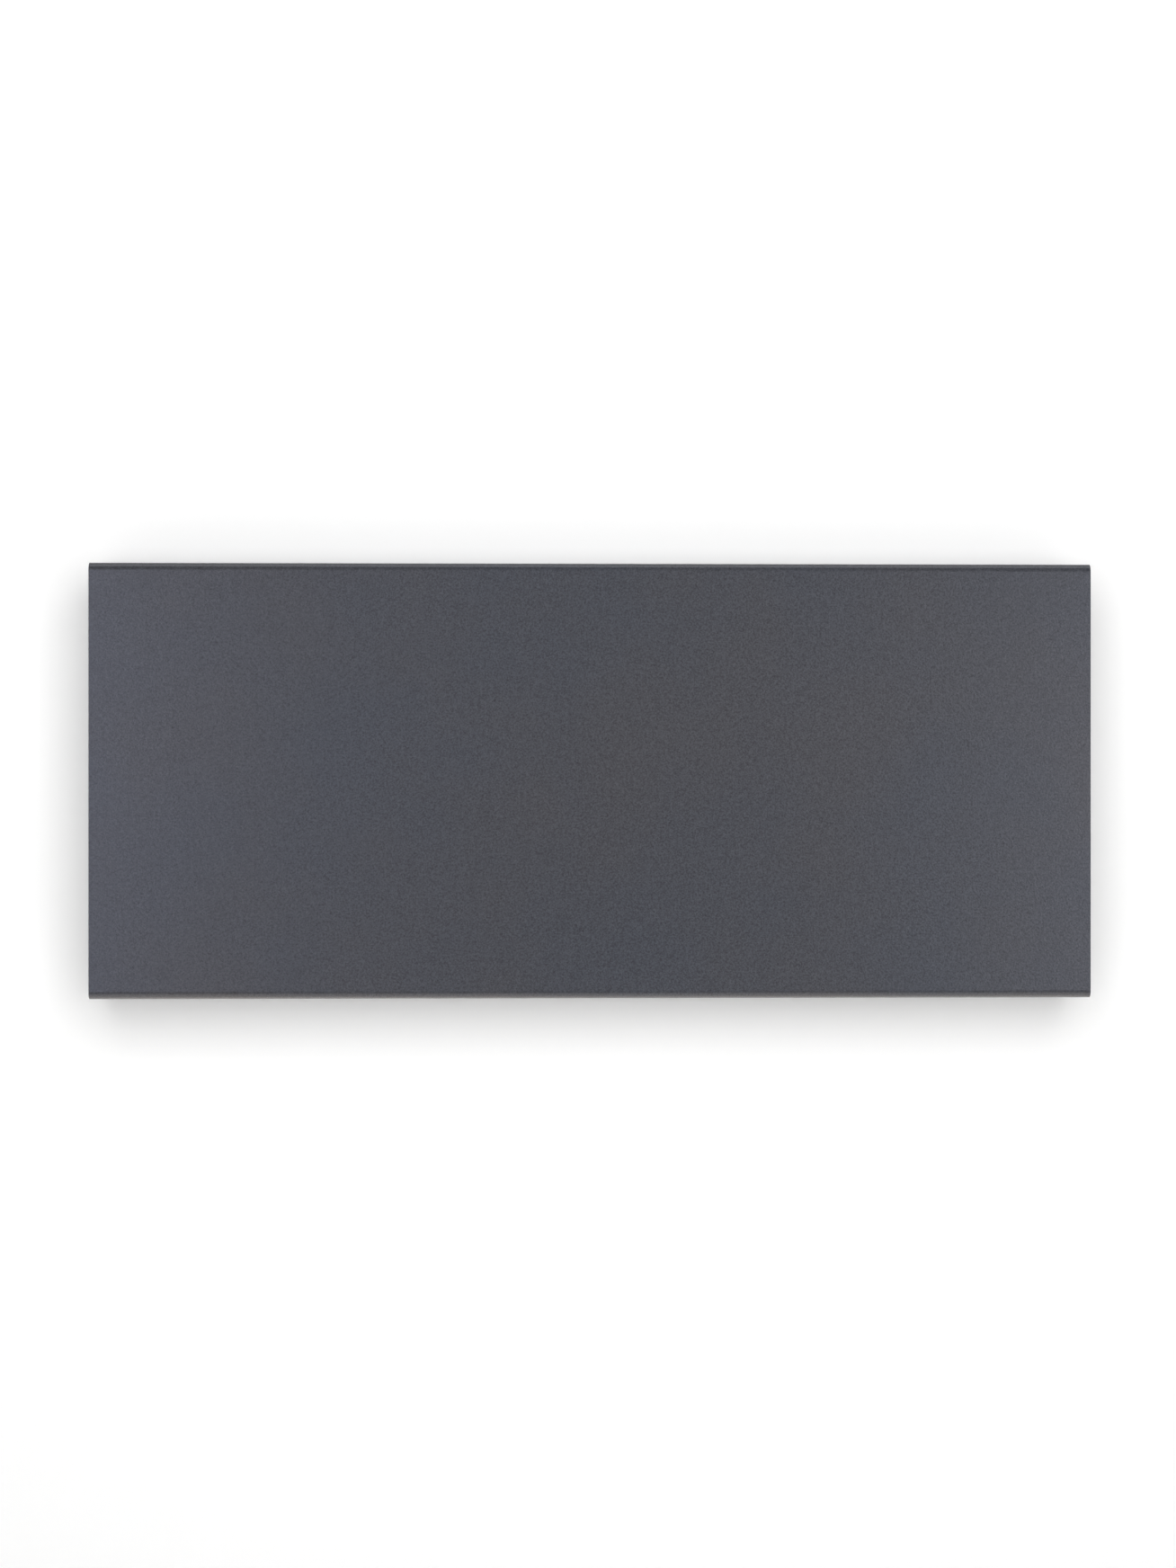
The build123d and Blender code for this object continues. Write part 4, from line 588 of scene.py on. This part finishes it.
rocker_pivot = Vector((0.4202, -0.054, -0.14))
rocker_tilt = math.radians(10.0)
valley_out = 0.0022
end_out = 0.0036
end_along = 0.0079
face_slope = math.atan2(end_out - valley_out, end_along)
line_mark = [bar_shape((0.0, 0.0), 0.0038, 0.0007, math.pi / 2)]
ring_mark = ring_shapes(0.0015, 0.0006, 0.0, 2 * math.pi)
for name, side, shapes in (("rocker_line_mark", 1, line_mark), ("rocker_ring_mark", -1, ring_mark)):
    out = (valley_out + end_out) / 2
    along = side * end_along / 2
    face_middle = Vector(
        (
            out * math.cos(rocker_tilt) + along * math.sin(rocker_tilt),
            0.0,
            along * math.cos(rocker_tilt) - out * math.sin(rocker_tilt),
        )
    )
    lean = rocker_tilt + side * face_slope
    up = (math.sin(lean), 0.0, math.cos(lean))
    ink_layer(name, shapes, rocker_pivot + face_middle, (0.0, 1.0, 0.0), up, "power_rocker", printed_ink)

# Room sensor: a thermistor bead dipped in brown epoxy, held below the casing by a black snap-in holder,
# where the air it measures hasn't yet been warmed.

bead_epoxy = finish_of(
    "bead_epoxy",
    moulded_grain,
    {"Plastic": (0.05, 0.035, 0.028, 1.0), "Grain Size": 0.0012, "Spread": 0.3, "Matt": 0.22},
    0.00003,
    Coat_Weight=0.5,
    Coat_Roughness=0.1,
)
give(bead_epoxy, "room_sensor")
give(gland_nylon, "sensor_holder")

# Control tray: black ABS, moulded with the posts and snaps that hold it under the casing's deck.
# Its inside is never seen, so the mould was left with a plain grain.

tray_plastic = finish_of(
    "tray_plastic",
    moulded_grain,
    {"Plastic": (0.028, 0.028, 0.031, 1.0), "Grain Size": 0.0006, "Spread": 0.2, "Matt": 0.52},
    0.00003,
)
give(tray_plastic, "control_housing")

# Circuit boards: glass-epoxy laminate under green lacquer. The copper tracks stand a little proud under it
# and show lighter, and the lacquer shines.

board_tracks, asked, made = effect_group(
    "board_tracks",
    {"Lacquer": (0.02, 0.12, 0.055, 1.0), "Track": (0.05, 0.21, 0.1, 1.0), "Track Pitch": 0.0032},
    {"Color": "Color", "Roughness": "Float", "Height": "Float"},
)
place = add(board_tracks, "ShaderNodeTexCoord").outputs["Object"]
pitch = reckon(board_tracks, "DIVIDE", 1.0, asked["Track Pitch"])
routes = add(
    board_tracks,
    "ShaderNodeTexVoronoi",
    {"Vector": place, "Scale": pitch, "Randomness": 0.85},
    feature="F1",
    distance="MANHATTAN",
).outputs["Distance"]
stripes = reckon(board_tracks, "PINGPONG", reckon(board_tracks, "MULTIPLY", routes, 3.0), 0.5)
copper = graded(board_tracks, stripes, 0.26, 0.32)
weave = noise_of(board_tracks, 0.0004, 1.0)
ground = blended(board_tracks, copper, asked["Lacquer"], asked["Track"])
lit = reckon(board_tracks, "MULTIPLY_ADD", weave, 0.3, 0.85)
board_tracks.links.new(shaded(board_tracks, ground, lit), made["Color"])
board_tracks.links.new(graded(board_tracks, weave, 0.2, 0.8, 0.2, 0.32), made["Roughness"])
board_tracks.links.new(reckon(board_tracks, "MULTIPLY_ADD", weave, 0.15, copper), made["Height"])

board_laminate = finish_of("board_laminate", board_tracks, {}, 0.00003, Coat_Weight=0.3, Coat_Roughness=0.15)
give(board_laminate, "display_board", "power_board")

# Display: a sealed module of four seven-bar figures under a smoked window. The switch is off, so the bars are
# unlit and show only as paler grey on the black filter.

display_filter = finish_of(
    "display_filter",
    moulded_grain,
    {"Plastic": (0.018, 0.018, 0.02, 1.0), "Grain Size": 0.0008, "Spread": 0.15, "Matt": 0.3},
    0.00001,
)
give(display_filter, "led_display")

unlit_bars = finish_of(
    "unlit_bars",
    moulded_grain,
    {"Plastic": (0.16, 0.158, 0.15, 1.0), "Grain Size": 0.0003, "Spread": 0.1, "Matt": 0.6},
    0.00001,
)


def top_middle(node):
    """The middle of a node's top face."""
    low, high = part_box(node)
    return Vector(((low.x + high.x) / 2, (low.y + high.y) / 2, high.z))


figure_pitch = 0.0062
colon_room = 0.0004
bar_length = 0.0026
bar_width = 0.0005
bar_gap = 0.0003
dot_rise = 0.0013
dot_length = 0.0008
dot_width = 0.0007
step = bar_length + bar_gap
figure_bars = []
for place_in_row in (-1.5, -0.5, 0.5, 1.5):
    shift = place_in_row * figure_pitch + math.copysign(colon_room, place_in_row)
    for a, b, turn in (
        (0.0, step, 0.0),
        (0.0, 0.0, 0.0),
        (0.0, -step, 0.0),
        (-step / 2, step / 2, math.pi / 2),
        (step / 2, step / 2, math.pi / 2),
        (-step / 2, -step / 2, math.pi / 2),
        (step / 2, -step / 2, math.pi / 2),
    ):
        figure_bars.append(bar_shape((shift + a, b), bar_length, bar_width, turn))
for rise in (-dot_rise, dot_rise):
    figure_bars.append(bar_shape((0.0, rise), dot_length, dot_width))
across, up = (1.0, 0.0, 0.0), (0.0, 1.0, 0.0)
ink_layer("display_bars", figure_bars, top_middle("led_display"), across, up, "heater", unlit_bars)

# Small electronics: moulded epoxy and polyester cases in black and blue, a tinned radio can, and the flat
# ribbon between the two boards.

case_epoxy = finish_of(
    "case_epoxy",
    moulded_grain,
    {"Plastic": (0.028, 0.028, 0.03, 1.0), "Grain Size": 0.0005, "Spread": 0.25, "Matt": 0.42},
    0.00002,
    layers=[(edge_wear_and_highlight, {"Bare And Highlight": (0.07, 0.07, 0.073, 1.0), "Edge Width": 0.0003, "Amount": 0.4})],
)
give(case_epoxy, "relay", "tact_switches")

sleeve_black = finish_of(
    "sleeve_black",
    moulded_grain,
    {"Plastic": (0.02, 0.02, 0.026, 1.0), "Grain Size": 0.001, "Spread": 0.2, "Matt": 0.24},
    0.00001,
    Coat_Weight=0.4,
    Coat_Roughness=0.12,
)
give(sleeve_black, "round_capacitor")

converter_blue = finish_of(
    "converter_blue",
    moulded_grain,
    {"Plastic": (0.04, 0.14, 0.36, 1.0), "Grain Size": 0.0006, "Spread": 0.15, "Matt": 0.38},
    0.00002,
    layers=[(edge_wear_and_highlight, {"Bare And Highlight": (0.1, 0.22, 0.45, 1.0), "Edge Width": 0.0003, "Amount": 0.4})],
)
give(converter_blue, "power_converter")

tinned_can = finish_of(
    "tinned_can",
    drawn_lines,
    {
        "Metal": (0.66, 0.65, 0.62, 1.0),
        "Line Size": 0.0005,
        "Run": (1.0, 0.04, 1.0),
        "Spread": 0.14,
        "Matt": 0.3,
    },
    0.00001,
    Metallic=1.0,
)
give(tinned_can, "radio_module")

ribbon_insulation, asked, made = effect_group(
    "ribbon_insulation",
    {"Insulation": (0.3, 0.3, 0.31, 1.0), "Core Pitch": 0.00127},
    {"Color": "Color", "Roughness": "Float", "Height": "Float"},
)
place = add(ribbon_insulation, "ShaderNodeTexCoord").outputs["Object"]
along_row = add(ribbon_insulation, "ShaderNodeSeparateXYZ", {"Vector": place}).outputs["X"]
cores = reckon(ribbon_insulation, "DIVIDE", along_row, asked["Core Pitch"])
cores = reckon(ribbon_insulation, "PINGPONG", cores, 0.5)
grain = noise_of(ribbon_insulation, 0.0006)
# Painted shade: the colour darkens into the grooves between the cores and lightens on each core's crest.
lit = reckon(ribbon_insulation, "MULTIPLY_ADD", cores, 0.5, 0.72)
lit = reckon(ribbon_insulation, "MULTIPLY_ADD", grain, 0.08, lit)
ribbon_insulation.links.new(shaded(ribbon_insulation, asked["Insulation"], lit), made["Color"])
ribbon_insulation.links.new(graded(ribbon_insulation, grain, 0.2, 0.8, 0.42, 0.54), made["Roughness"])
ribbon_insulation.links.new(cores, made["Height"])

ribbon_vinyl = finish_of("ribbon_vinyl", ribbon_insulation, {}, 0.0003)
give(ribbon_vinyl, "ribbon_cable")

# Push-on connections: tinned brass tabs under milky nylon sleeves, and the insulated leads between them.
# The leads near the element have a white high-temperature braid, and the sensor's lead is grey vinyl.

tinned_brass = finish_of(
    "tinned_brass",
    drawn_lines,
    {"Metal": (0.68, 0.65, 0.54, 1.0), "Line Size": 0.0004, "Spread": 0.2, "Matt": 0.3},
    0.00001,
    Metallic=1.0,
)
give(tinned_brass, "spade_tabs")

sleeve_nylon = finish_of(
    "sleeve_nylon",
    moulded_grain,
    {"Plastic": (0.74, 0.74, 0.69, 1.0), "Grain Size": 0.001, "Spread": 0.06, "Matt": 0.36},
    0.00001,
    Subsurface_Weight=0.2,
    Subsurface_Scale=0.001,
)
give(sleeve_nylon, "tab_sleeves")

lead_insulation_brown = finish_of(
    "lead_insulation_brown",
    moulded_grain,
    {"Plastic": (0.14, 0.055, 0.024, 1.0), "Grain Size": 0.0008, "Spread": 0.14, "Matt": 0.4},
    0.00001,
)
give(lead_insulation_brown, "mains_leads", "switched_leads")

glass_braid, asked, made = effect_group(
    "glass_braid",
    {"Yarn": (0.72, 0.715, 0.69, 1.0), "Yarn Size": 0.0007},
    {"Color": "Color", "Roughness": "Float", "Height": "Float"},
)
place = add(glass_braid, "ShaderNodeTexCoord").outputs["Object"]
thread = reckon(glass_braid, "DIVIDE", 1.0, asked["Yarn Size"])
strands = add(
    glass_braid,
    "ShaderNodeTexVoronoi",
    {"Vector": place, "Scale": thread, "Randomness": 0.35},
    distance="CHEBYCHEV",
).outputs["Distance"]
hairs = noise_of(glass_braid, 0.0003, 3.0)
# Painted shade: each yarn is lighter in its middle and darker towards its edges, where the yarns meet.
lit = reckon(glass_braid, "SUBTRACT", 1.12, reckon(glass_braid, "MULTIPLY", strands, 0.4))
lit = reckon(glass_braid, "MULTIPLY_ADD", hairs, 0.1, lit)
glass_braid.links.new(shaded(glass_braid, asked["Yarn"], lit), made["Color"])
glass_braid.links.new(graded(glass_braid, hairs, 0.2, 0.8, 0.6, 0.75), made["Roughness"])
glass_braid.links.new(reckon(glass_braid, "SUBTRACT", 1.0, strands), made["Height"])

braided_white = finish_of("braided_white", glass_braid, {}, 0.0001, Sheen_Weight=0.1)
give(braided_white, "element_leads")

lead_insulation_grey = finish_of(
    "lead_insulation_grey",
    moulded_grain,
    {"Plastic": (0.28, 0.28, 0.29, 1.0), "Grain Size": 0.0008, "Spread": 0.12, "Matt": 0.42},
    0.00001,
)
give(lead_insulation_grey, "sensor_lead")

# Control fascia: polished black acrylic let into the casing's deck, with the display's smoked window and two
# light pipes. It shows fine wiping marks and a little dust, as gloss black always does.

fascia_gloss = finish_of(
    "fascia_gloss",
    drawn_lines,
    {
        "Metal": (0.011, 0.011, 0.013, 1.0),
        "Line Size": 0.0012,
        "Run": (0.15, 1.0, 1.0),
        "Spread": 0.3,
        "Matt": 0.13,
    },
    0.000003,
    layers=[(settled_dust, {"Amount": 0.05})],
    Coat_Weight=0.5,
    Coat_Roughness=0.05,
)
give(fascia_gloss, "control_fascia")

smoked_acrylic = finish_of(
    "smoked_acrylic",
    moulded_grain,
    {"Plastic": (0.3, 0.3, 0.32, 1.0), "Grain Size": 0.004, "Spread": 0.05, "Matt": 0.02},
    0.000002,
    Transmission_Weight=0.94,
    IOR=1.49,
)
give(smoked_acrylic, "display_window")

clear_pipe = finish_of(
    "clear_pipe",
    moulded_grain,
    {"Plastic": (0.72, 0.74, 0.76, 1.0), "Grain Size": 0.002, "Spread": 0.05, "Matt": 0.2},
    0.000003,
    Transmission_Weight=0.35,
    IOR=1.49,
)
give(clear_pipe, "indicator_lights")

# Keys: four round ABS caps with a satin grain and a softened rim, each on its own stem.
# Power, down, up and confirm are printed on them as plain generic signs in white ink.

key_plastic = finish_of(
    "key_plastic",
    moulded_grain,
    {"Plastic": (0.085, 0.087, 0.096, 1.0), "Grain Size": 0.0004, "Spread": 0.2, "Matt": 0.44},
    0.00002,
    layers=[(edge_wear_and_highlight, {"Bare And Highlight": (0.15, 0.152, 0.165, 1.0), "Edge Width": 0.0003, "Amount": 0.4})],
)
stroke = 0.00045
thin_stroke = 0.00035
open_ring = ring_shapes(0.0014, thin_stroke, math.radians(125.0), math.radians(415.0))
key_signs = {
    "power": open_ring + [bar_shape((0.0, 0.0011), 0.0016, thin_stroke, math.pi / 2)],
    "minus": [bar_shape((0.0, 0.0), 0.003, stroke)],
    "plus": [
        bar_shape((0.0, 0.0), 0.003, stroke),
        bar_shape((0.0, 0.0009), 0.0012, stroke, math.pi / 2),
        bar_shape((0.0, -0.0009), 0.0012, stroke, math.pi / 2),
    ],
    "confirm": [
        bar_shape((-0.0009, -0.0003), 0.0015, stroke, math.radians(-45.0)),
        bar_shape((0.00061, 0.0001), 0.0027, stroke, math.radians(52.0)),
    ],
}
for label, sign in key_signs.items():
    key = "button_" + label
    give(key_plastic, key)
    ink_layer("sign_" + label, sign, top_middle(key), across, up, key, printed_ink)

# End caps: black ABS mouldings that close the casing's two ends, with an even spark-eroded grain.
# Four plated screws hold them from behind.

cap_plastic = finish_of(
    "cap_plastic",
    moulded_grain,
    {"Plastic": (0.034, 0.035, 0.039, 1.0), "Grain Size": 0.0007, "Spread": 0.22, "Matt": 0.48},
    0.00004,
    layers=[
        (edge_wear_and_highlight, {"Bare And Highlight": (0.075, 0.077, 0.084, 1.0), "Edge Width": 0.0006, "Amount": 0.45}),
        (settled_dust, {"Amount": 0.12}),
    ],
)
give(cap_plastic, "end_cap_left", "end_cap_right")

# Front panel: one steel sheet, 1 mm thick, folded over at the top and the bottom on a 7 mm radius and left as
# cut at its two ends. It hangs by its lip and is held by three sunk screws below. The coat is a cool graphite
# with fine metallic flecks.

panel_sheet = 0.001
panel_bend = 0.007
lip_bend = 0.0016
lip_drop = 0.008
bottom_flange = 0.026
cut_edge_round = 0.0003
hole_spread = 0.3
hole_outer = 0.0033
hole_inner = 0.00242
sink_slope = (hole_outer - hole_inner) * 0.5
bend_steps = 14
panel_low, panel_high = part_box("front_panel")
flange_y = panel_low.y + bottom_flange
fold_line = [
    ((panel_high.y, panel_high.z - lip_drop), 0.0),
    ((panel_high.y, panel_high.z), lip_bend),
    ((panel_low.y, panel_high.z), panel_bend),
    ((panel_low.y, panel_low.z), panel_bend),
    ((flange_y, panel_low.z), 0.0),
]


def folded_section(corners, sheet, steps):
    """The outer and the inner line of a folded sheet, from its outer corners and their bend radii."""
    points = [Vector(corner) for corner, bend in corners]
    bends = [bend for corner, bend in corners]
    runs = [(b - a).normalized() for a, b in zip(points, points[1:])]
    inward = [Vector((-run.y, run.x)) for run in runs]
    line = [(points[0], inward[0])]
    for n in range(1, len(points) - 1):
        centre = points[n] - runs[n - 1] * bends[n] + inward[n - 1] * bends[n]
        for step in range(steps + 1):
            angle = math.pi / 2 * step / steps
            side = inward[n - 1] * math.cos(angle) - runs[n - 1] * math.sin(angle)
            line.append((centre - side * bends[n], side))
    line.append((points[-1], inward[-1]))
    return [p for p, side in line], [p + side * sheet for p, side in line]


def folded_sheet(name, outer, inner, left_end, right_end):
    """A sheet with that section, from its left end to its right end, closed all round."""
    form = bmesh.new()
    rows = []
    for x in (left_end, right_end):
        rows.append(
            (
                [form.verts.new((x, p.x, p.y)) for p in outer],
                [form.verts.new((x, p.x, p.y)) for p in inner],
            )
        )
    (left_outer, left_inner), (right_outer, right_inner) = rows
    for n in range(len(outer) - 1):
        form.faces.new((left_outer[n], left_outer[n + 1], right_outer[n + 1], right_outer[n]))
        form.faces.new((left_inner[n + 1], left_inner[n], right_inner[n], right_inner[n + 1]))
        form.faces.new((left_outer[n + 1], left_outer[n], left_inner[n], left_inner[n + 1]))
        form.faces.new((right_outer[n], right_outer[n + 1], right_inner[n + 1], right_inner[n]))
    for n in (0, -1):
        form.faces.new((left_outer[n], right_outer[n], right_inner[n], left_inner[n]))
    bmesh.ops.recalc_face_normals(form, faces=form.faces)
    mesh = bpy.data.meshes.new(name)
    form.to_mesh(mesh)
    form.free()
    piece = bpy.data.objects.new(name, mesh)
    bpy.context.scene.collection.objects.link(piece)
    return piece


def settle_modifiers(piece):
    """Writes what the modifiers make into the piece's own mesh."""
    ready = bpy.data.meshes.new_from_object(piece.evaluated_get(bpy.context.evaluated_depsgraph_get()))
    piece.modifiers.clear()
    piece.data = ready


def smooth_by_angle(piece, angle):
    """Smooth shading that stays crisp at sharp edges, led by the large faces."""
    for face in piece.data.polygons:
        face.use_smooth = True
    piece.data.set_sharp_from_angle(angle=math.radians(angle))
    weighing = piece.modifiers.new("led_by_large_faces", "WEIGHTED_NORMAL")
    weighing.keep_sharp = True


outer_line, inner_line = folded_section(fold_line, panel_sheet, bend_steps)
front = folded_sheet("front_sheet", outer_line, inner_line, panel_low.x, panel_high.x)
screws_low, screws_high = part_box("panel_screws")
screw_y = (screws_low.y + screws_high.y) / 2
punches = bmesh.new()
for spot in (-hole_spread, 0.0, hole_spread):
    punch = bmesh.ops.create_cone(
        punches,
        cap_ends=True,
        segments=48,
        radius1=hole_outer + sink_slope,
        radius2=hole_inner - sink_slope,
        depth=panel_sheet * 2,
    )
    bmesh.ops.translate(punches, verts=punch["verts"], vec=(spot, screw_y, panel_low.z + panel_sheet / 2))
punch_mesh = bpy.data.meshes.new("punches")
punches.to_mesh(punch_mesh)
punches.free()
punch_tool = bpy.data.objects.new("punches", punch_mesh)
bpy.context.scene.collection.objects.link(punch_tool)
holes = front.modifiers.new("screw_holes", "BOOLEAN")
holes.object = punch_tool
holes.solver = "EXACT"
softened = front.modifiers.new("cut_edges", "BEVEL")
softened.limit_method = "ANGLE"
softened.angle_limit = math.radians(60.0)
softened.width = cut_edge_round
softened.segments = 3
settle_modifiers(front)
bpy.data.objects.remove(punch_tool)
smooth_by_angle(front, 35.0)
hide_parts("front_panel")
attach(front, "heater")

graphite_coat = finish_of(
    "graphite_coat",
    powder_coat,
    {
        "Coat": (0.0338, 0.037, 0.0468, 1.0),
        "Cloud": (0.038, 0.038, 0.0438, 1.0),
        "Fleck": (0.0565, 0.0575, 0.0655, 1.0),
        "Fleck Size": 0.0009,
        "Fleck Share": 0.4,
        "Spread": 1.5,
        "Peel Size": 0.0016,
        "Matt": 0.32,
    },
    0.0001,
    # The panel's edges are lighter over 1.4 mm: partly rubbed coat, partly a painted highlight along the
    # sheet's cut ends and edges.
    layers=[(edge_wear_and_highlight, {"Bare And Highlight": (0.1, 0.1, 0.112, 1.0), "Edge Width": 0.0014, "Amount": 0.5})],
    Metallic=0.05,
    Specular_IOR_Level=0.3,
    Specular_Tint=(0.97, 0.98, 1.04, 1.0),
)
front.data.materials.clear()
front.data.materials.append(graphite_coat)

# Panel screws: countersunk cross-recess screws, zinc plated and then blackened so that they don't show
# below the dark panel.

blackened_zinc = finish_of(
    "blackened_zinc",
    drawn_lines,
    {"Metal": (0.07, 0.07, 0.075, 1.0), "Line Size": 0.0003, "Spread": 0.3, "Matt": 0.36},
    0.00001,
    Metallic=0.9,
)
give(blackened_zinc, "panel_screws")

# Wall, floor and ceiling: the plain white wall that the radiator hangs on, a pale floor below it, and a light
# grey ceiling that only reflections show, as the dark line under the top bend's light one. The wall is seen
# from its front only, so that the radiator's back can be looked at and lit.


def plain_board(name, corners, finish):
    """A flat four-cornered board."""
    mesh = bpy.data.meshes.new(name)
    mesh.from_pydata(corners, [], [(0, 1, 2, 3)])
    mesh.materials.append(finish)
    board = bpy.data.objects.new(name, mesh)
    bpy.context.scene.collection.objects.link(board)
    return board


def looking_rays(tree):
    """One for rays that show a surface, straight or in metal or glass, and zero for rays that light it."""
    rays = add(tree, "ShaderNodeLightPath").outputs
    straight = reckon(tree, "MAXIMUM", rays["Is Camera Ray"], rays["Is Glossy Ray"])
    return reckon(tree, "MAXIMUM", straight, rays["Is Transmission Ray"])


plain_white = (1.0, 1.0, 1.0, 1.0)
wall_paint = bpy.data.materials.new("wall_paint")
wall_paint.use_nodes = True
tree = wall_paint.node_tree
tree.nodes.clear()
behind = add(tree, "ShaderNodeNewGeometry").outputs["Backfacing"]
shown = reckon(tree, "MULTIPLY", looking_rays(tree), reckon(tree, "SUBTRACT", 1.0, behind))
chalky = add(tree, "ShaderNodeBsdfDiffuse", {"Color": (0.96, 0.96, 0.96, 1.0)}).outputs[0]
glow = add(tree, "ShaderNodeEmission", {"Color": plain_white, "Strength": 0.11}).outputs[0]
painted = add(tree, "ShaderNodeAddShader", {0: chalky, 1: glow}).outputs[0]
clear = add(tree, "ShaderNodeBsdfTransparent").outputs[0]
wall_surface = add(tree, "ShaderNodeMixShader", {0: shown, 1: clear, 2: painted}).outputs[0]
add(tree, "ShaderNodeOutputMaterial", {"Surface": wall_surface})
wall_side = 3.5
wall_y = 0.0006
wall_top = 2.4
floor_z = -0.8
plain_board(
    "white_wall",
    [
        (-wall_side, wall_y, floor_z),
        (wall_side, wall_y, floor_z),
        (wall_side, wall_y, wall_top),
        (-wall_side, wall_y, wall_top),
    ],
    wall_paint,
)

floor_finish = bpy.data.materials.new("floor_finish")
floor_finish.use_nodes = True
tree = floor_finish.node_tree
floor_tone = noise_of(tree, 0.4, 3.0)
floor_colour = shaded(tree, (0.82, 0.81, 0.79), graded(tree, floor_tone, 0.3, 0.7, 0.98, 1.02))
tree.links.new(floor_colour, tree.nodes["Principled BSDF"].inputs["Base Color"])
tree.nodes["Principled BSDF"].inputs["Roughness"].default_value = 0.8
share = reckon(tree, "MULTIPLY", looking_rays(tree), 0.9)
glow = add(tree, "ShaderNodeEmission", {"Color": (1.0, 0.99, 0.97, 1.0), "Strength": 1.0}).outputs[0]
lit_floor = tree.nodes["Principled BSDF"].outputs["BSDF"]
pale = add(tree, "ShaderNodeMixShader", {0: share, 1: lit_floor, 2: glow}).outputs[0]
tree.links.new(pale, tree.nodes["Material Output"].inputs["Surface"])
floor_side = 7.0
floor_front = -7.0
floor_back = 5.0
plain_board(
    "pale_floor",
    [
        (-floor_side, floor_front, floor_z),
        (floor_side, floor_front, floor_z),
        (floor_side, floor_back, floor_z),
        (-floor_side, floor_back, floor_z),
    ],
    floor_finish,
)

ceiling_grey = bpy.data.materials.new("ceiling_grey")
ceiling_grey.use_nodes = True
tree = ceiling_grey.node_tree
tree.nodes.clear()
glow = add(tree, "ShaderNodeEmission", {"Color": plain_white, "Strength": 0.65}).outputs[0]
add(tree, "ShaderNodeOutputMaterial", {"Surface": glow})
ceiling_z = 3.0
ceiling_front = -8.0
ceiling = plain_board(
    "grey_ceiling",
    [
        (-floor_side, ceiling_front, ceiling_z),
        (floor_side, ceiling_front, ceiling_z),
        (floor_side, floor_back, ceiling_z),
        (-floor_side, floor_back, ceiling_z),
    ],
    ceiling_grey,
)
ceiling.visible_camera = False
ceiling.visible_diffuse = False
ceiling.visible_shadow = False
ceiling.visible_transmission = False

# Studio light: a white room, a large soft box high by the camera that gives the light and the soft shadow on
# the wall, and a weaker one behind for the back. Four more show only as soft reflections: one on each side of
# the camera, one overhead for the top bend's light line and a strip close below for the bottom bend's.

scene = bpy.context.scene
scene.view_settings.view_transform = "Standard"
room = bpy.data.worlds.new("white_room")
scene.world = room
room.use_nodes = True
tree = room.node_tree
tree.nodes.clear()
soft_room = add(tree, "ShaderNodeBackground", {"Color": plain_white, "Strength": 0.22}).outputs[0]
white_room = add(tree, "ShaderNodeBackground", {"Color": plain_white, "Strength": 1.0}).outputs[0]
both = add(tree, "ShaderNodeMixShader", {0: looking_rays(tree), 1: soft_room, 2: white_room}).outputs[0]
add(tree, "ShaderNodeOutputWorld", {"Surface": both})


def soft_box(name, place, aim, width, height, power):
    """A rectangular soft box that faces a point and isn't itself seen by the camera."""
    lamp = bpy.data.lights.new(name, "AREA")
    lamp.shape = "RECTANGLE"
    lamp.size = width
    lamp.size_y = height
    lamp.energy = power
    holder = bpy.data.objects.new(name, lamp)
    holder.location = place
    holder.rotation_mode = "QUATERNION"
    holder.rotation_quaternion = (Vector(aim) - Vector(place)).to_track_quat("-Z", "Y")
    holder.visible_camera = False
    scene.collection.objects.link(holder)
    return holder


panel_middle = (0.0, panel_low.y, 0.0)
key_box = soft_box("key_box", (0.1, -3.1, 0.92), (0.1, 0.0, 0.92), 3.0, 2.8, 92.0)
key_box.visible_glossy = False
left_box = soft_box("left_box", (-1.45, -2.9, 0.1), panel_middle, 1.0, 1.6, 36.5)
right_box = soft_box("right_box", (1.55, -2.8, -0.15), panel_middle, 1.0, 1.6, 31.0)
low_box = soft_box("low_box", (0.0, -0.09, -0.25), (0.0, -0.09, 0.0), 1.1, 0.14, 1.2)
top_box = soft_box("top_box", (0.0, -0.2, 2.2), (0.0, -0.2, 0.0), 2.6, 1.1, 32.0)
for sheen_box, tint in (
    (left_box, (0.92, 0.97, 1.2)),
    (right_box, (0.96, 0.98, 1.08)),
    (low_box, (1.0, 0.92, 0.82)),
    (top_box, (1.0, 1.0, 1.0)),
):
    sheen_box.visible_diffuse = False
    sheen_box.data.color = tint
soft_box("back_box", (0.6, 2.6, 1.2), panel_middle, 2.0, 2.0, 30.0)

# Camera: level with the panel's middle, 3 m in front and a little to the left, with a long lens, so that the
# left end is seen about one per cent larger than the right.

camera_distance = 3.0
camera_turn = math.radians(1.85)
frame_height = 1.332
photo_width = 1308
photo_height = 1744
panel_middle_px = (658.3, 868.6)
pixel = frame_height / photo_height
film_size = 36.0
lens_data = bpy.data.cameras.new("camera")
lens_data.sensor_width = film_size
lens_data.lens = film_size * camera_distance / frame_height
camera = bpy.data.objects.new("camera", lens_data)
toward = Vector((math.sin(camera_turn), math.cos(camera_turn), 0.0))
sideways = Vector((math.cos(camera_turn), -math.sin(camera_turn), 0.0))
offset = sideways * (photo_width / 2 - panel_middle_px[0]) * pixel
offset += Vector((0.0, 0.0, 1.0)) * (panel_middle_px[1] - photo_height / 2) * pixel
camera.location = Vector(panel_middle) - toward * camera_distance + offset
camera.rotation_mode = "QUATERNION"
camera.rotation_quaternion = toward.to_track_quat("-Z", "Y")
scene.collection.objects.link(camera)
scene.camera = camera

# The scene brought up to date.

bpy.context.view_layer.update()
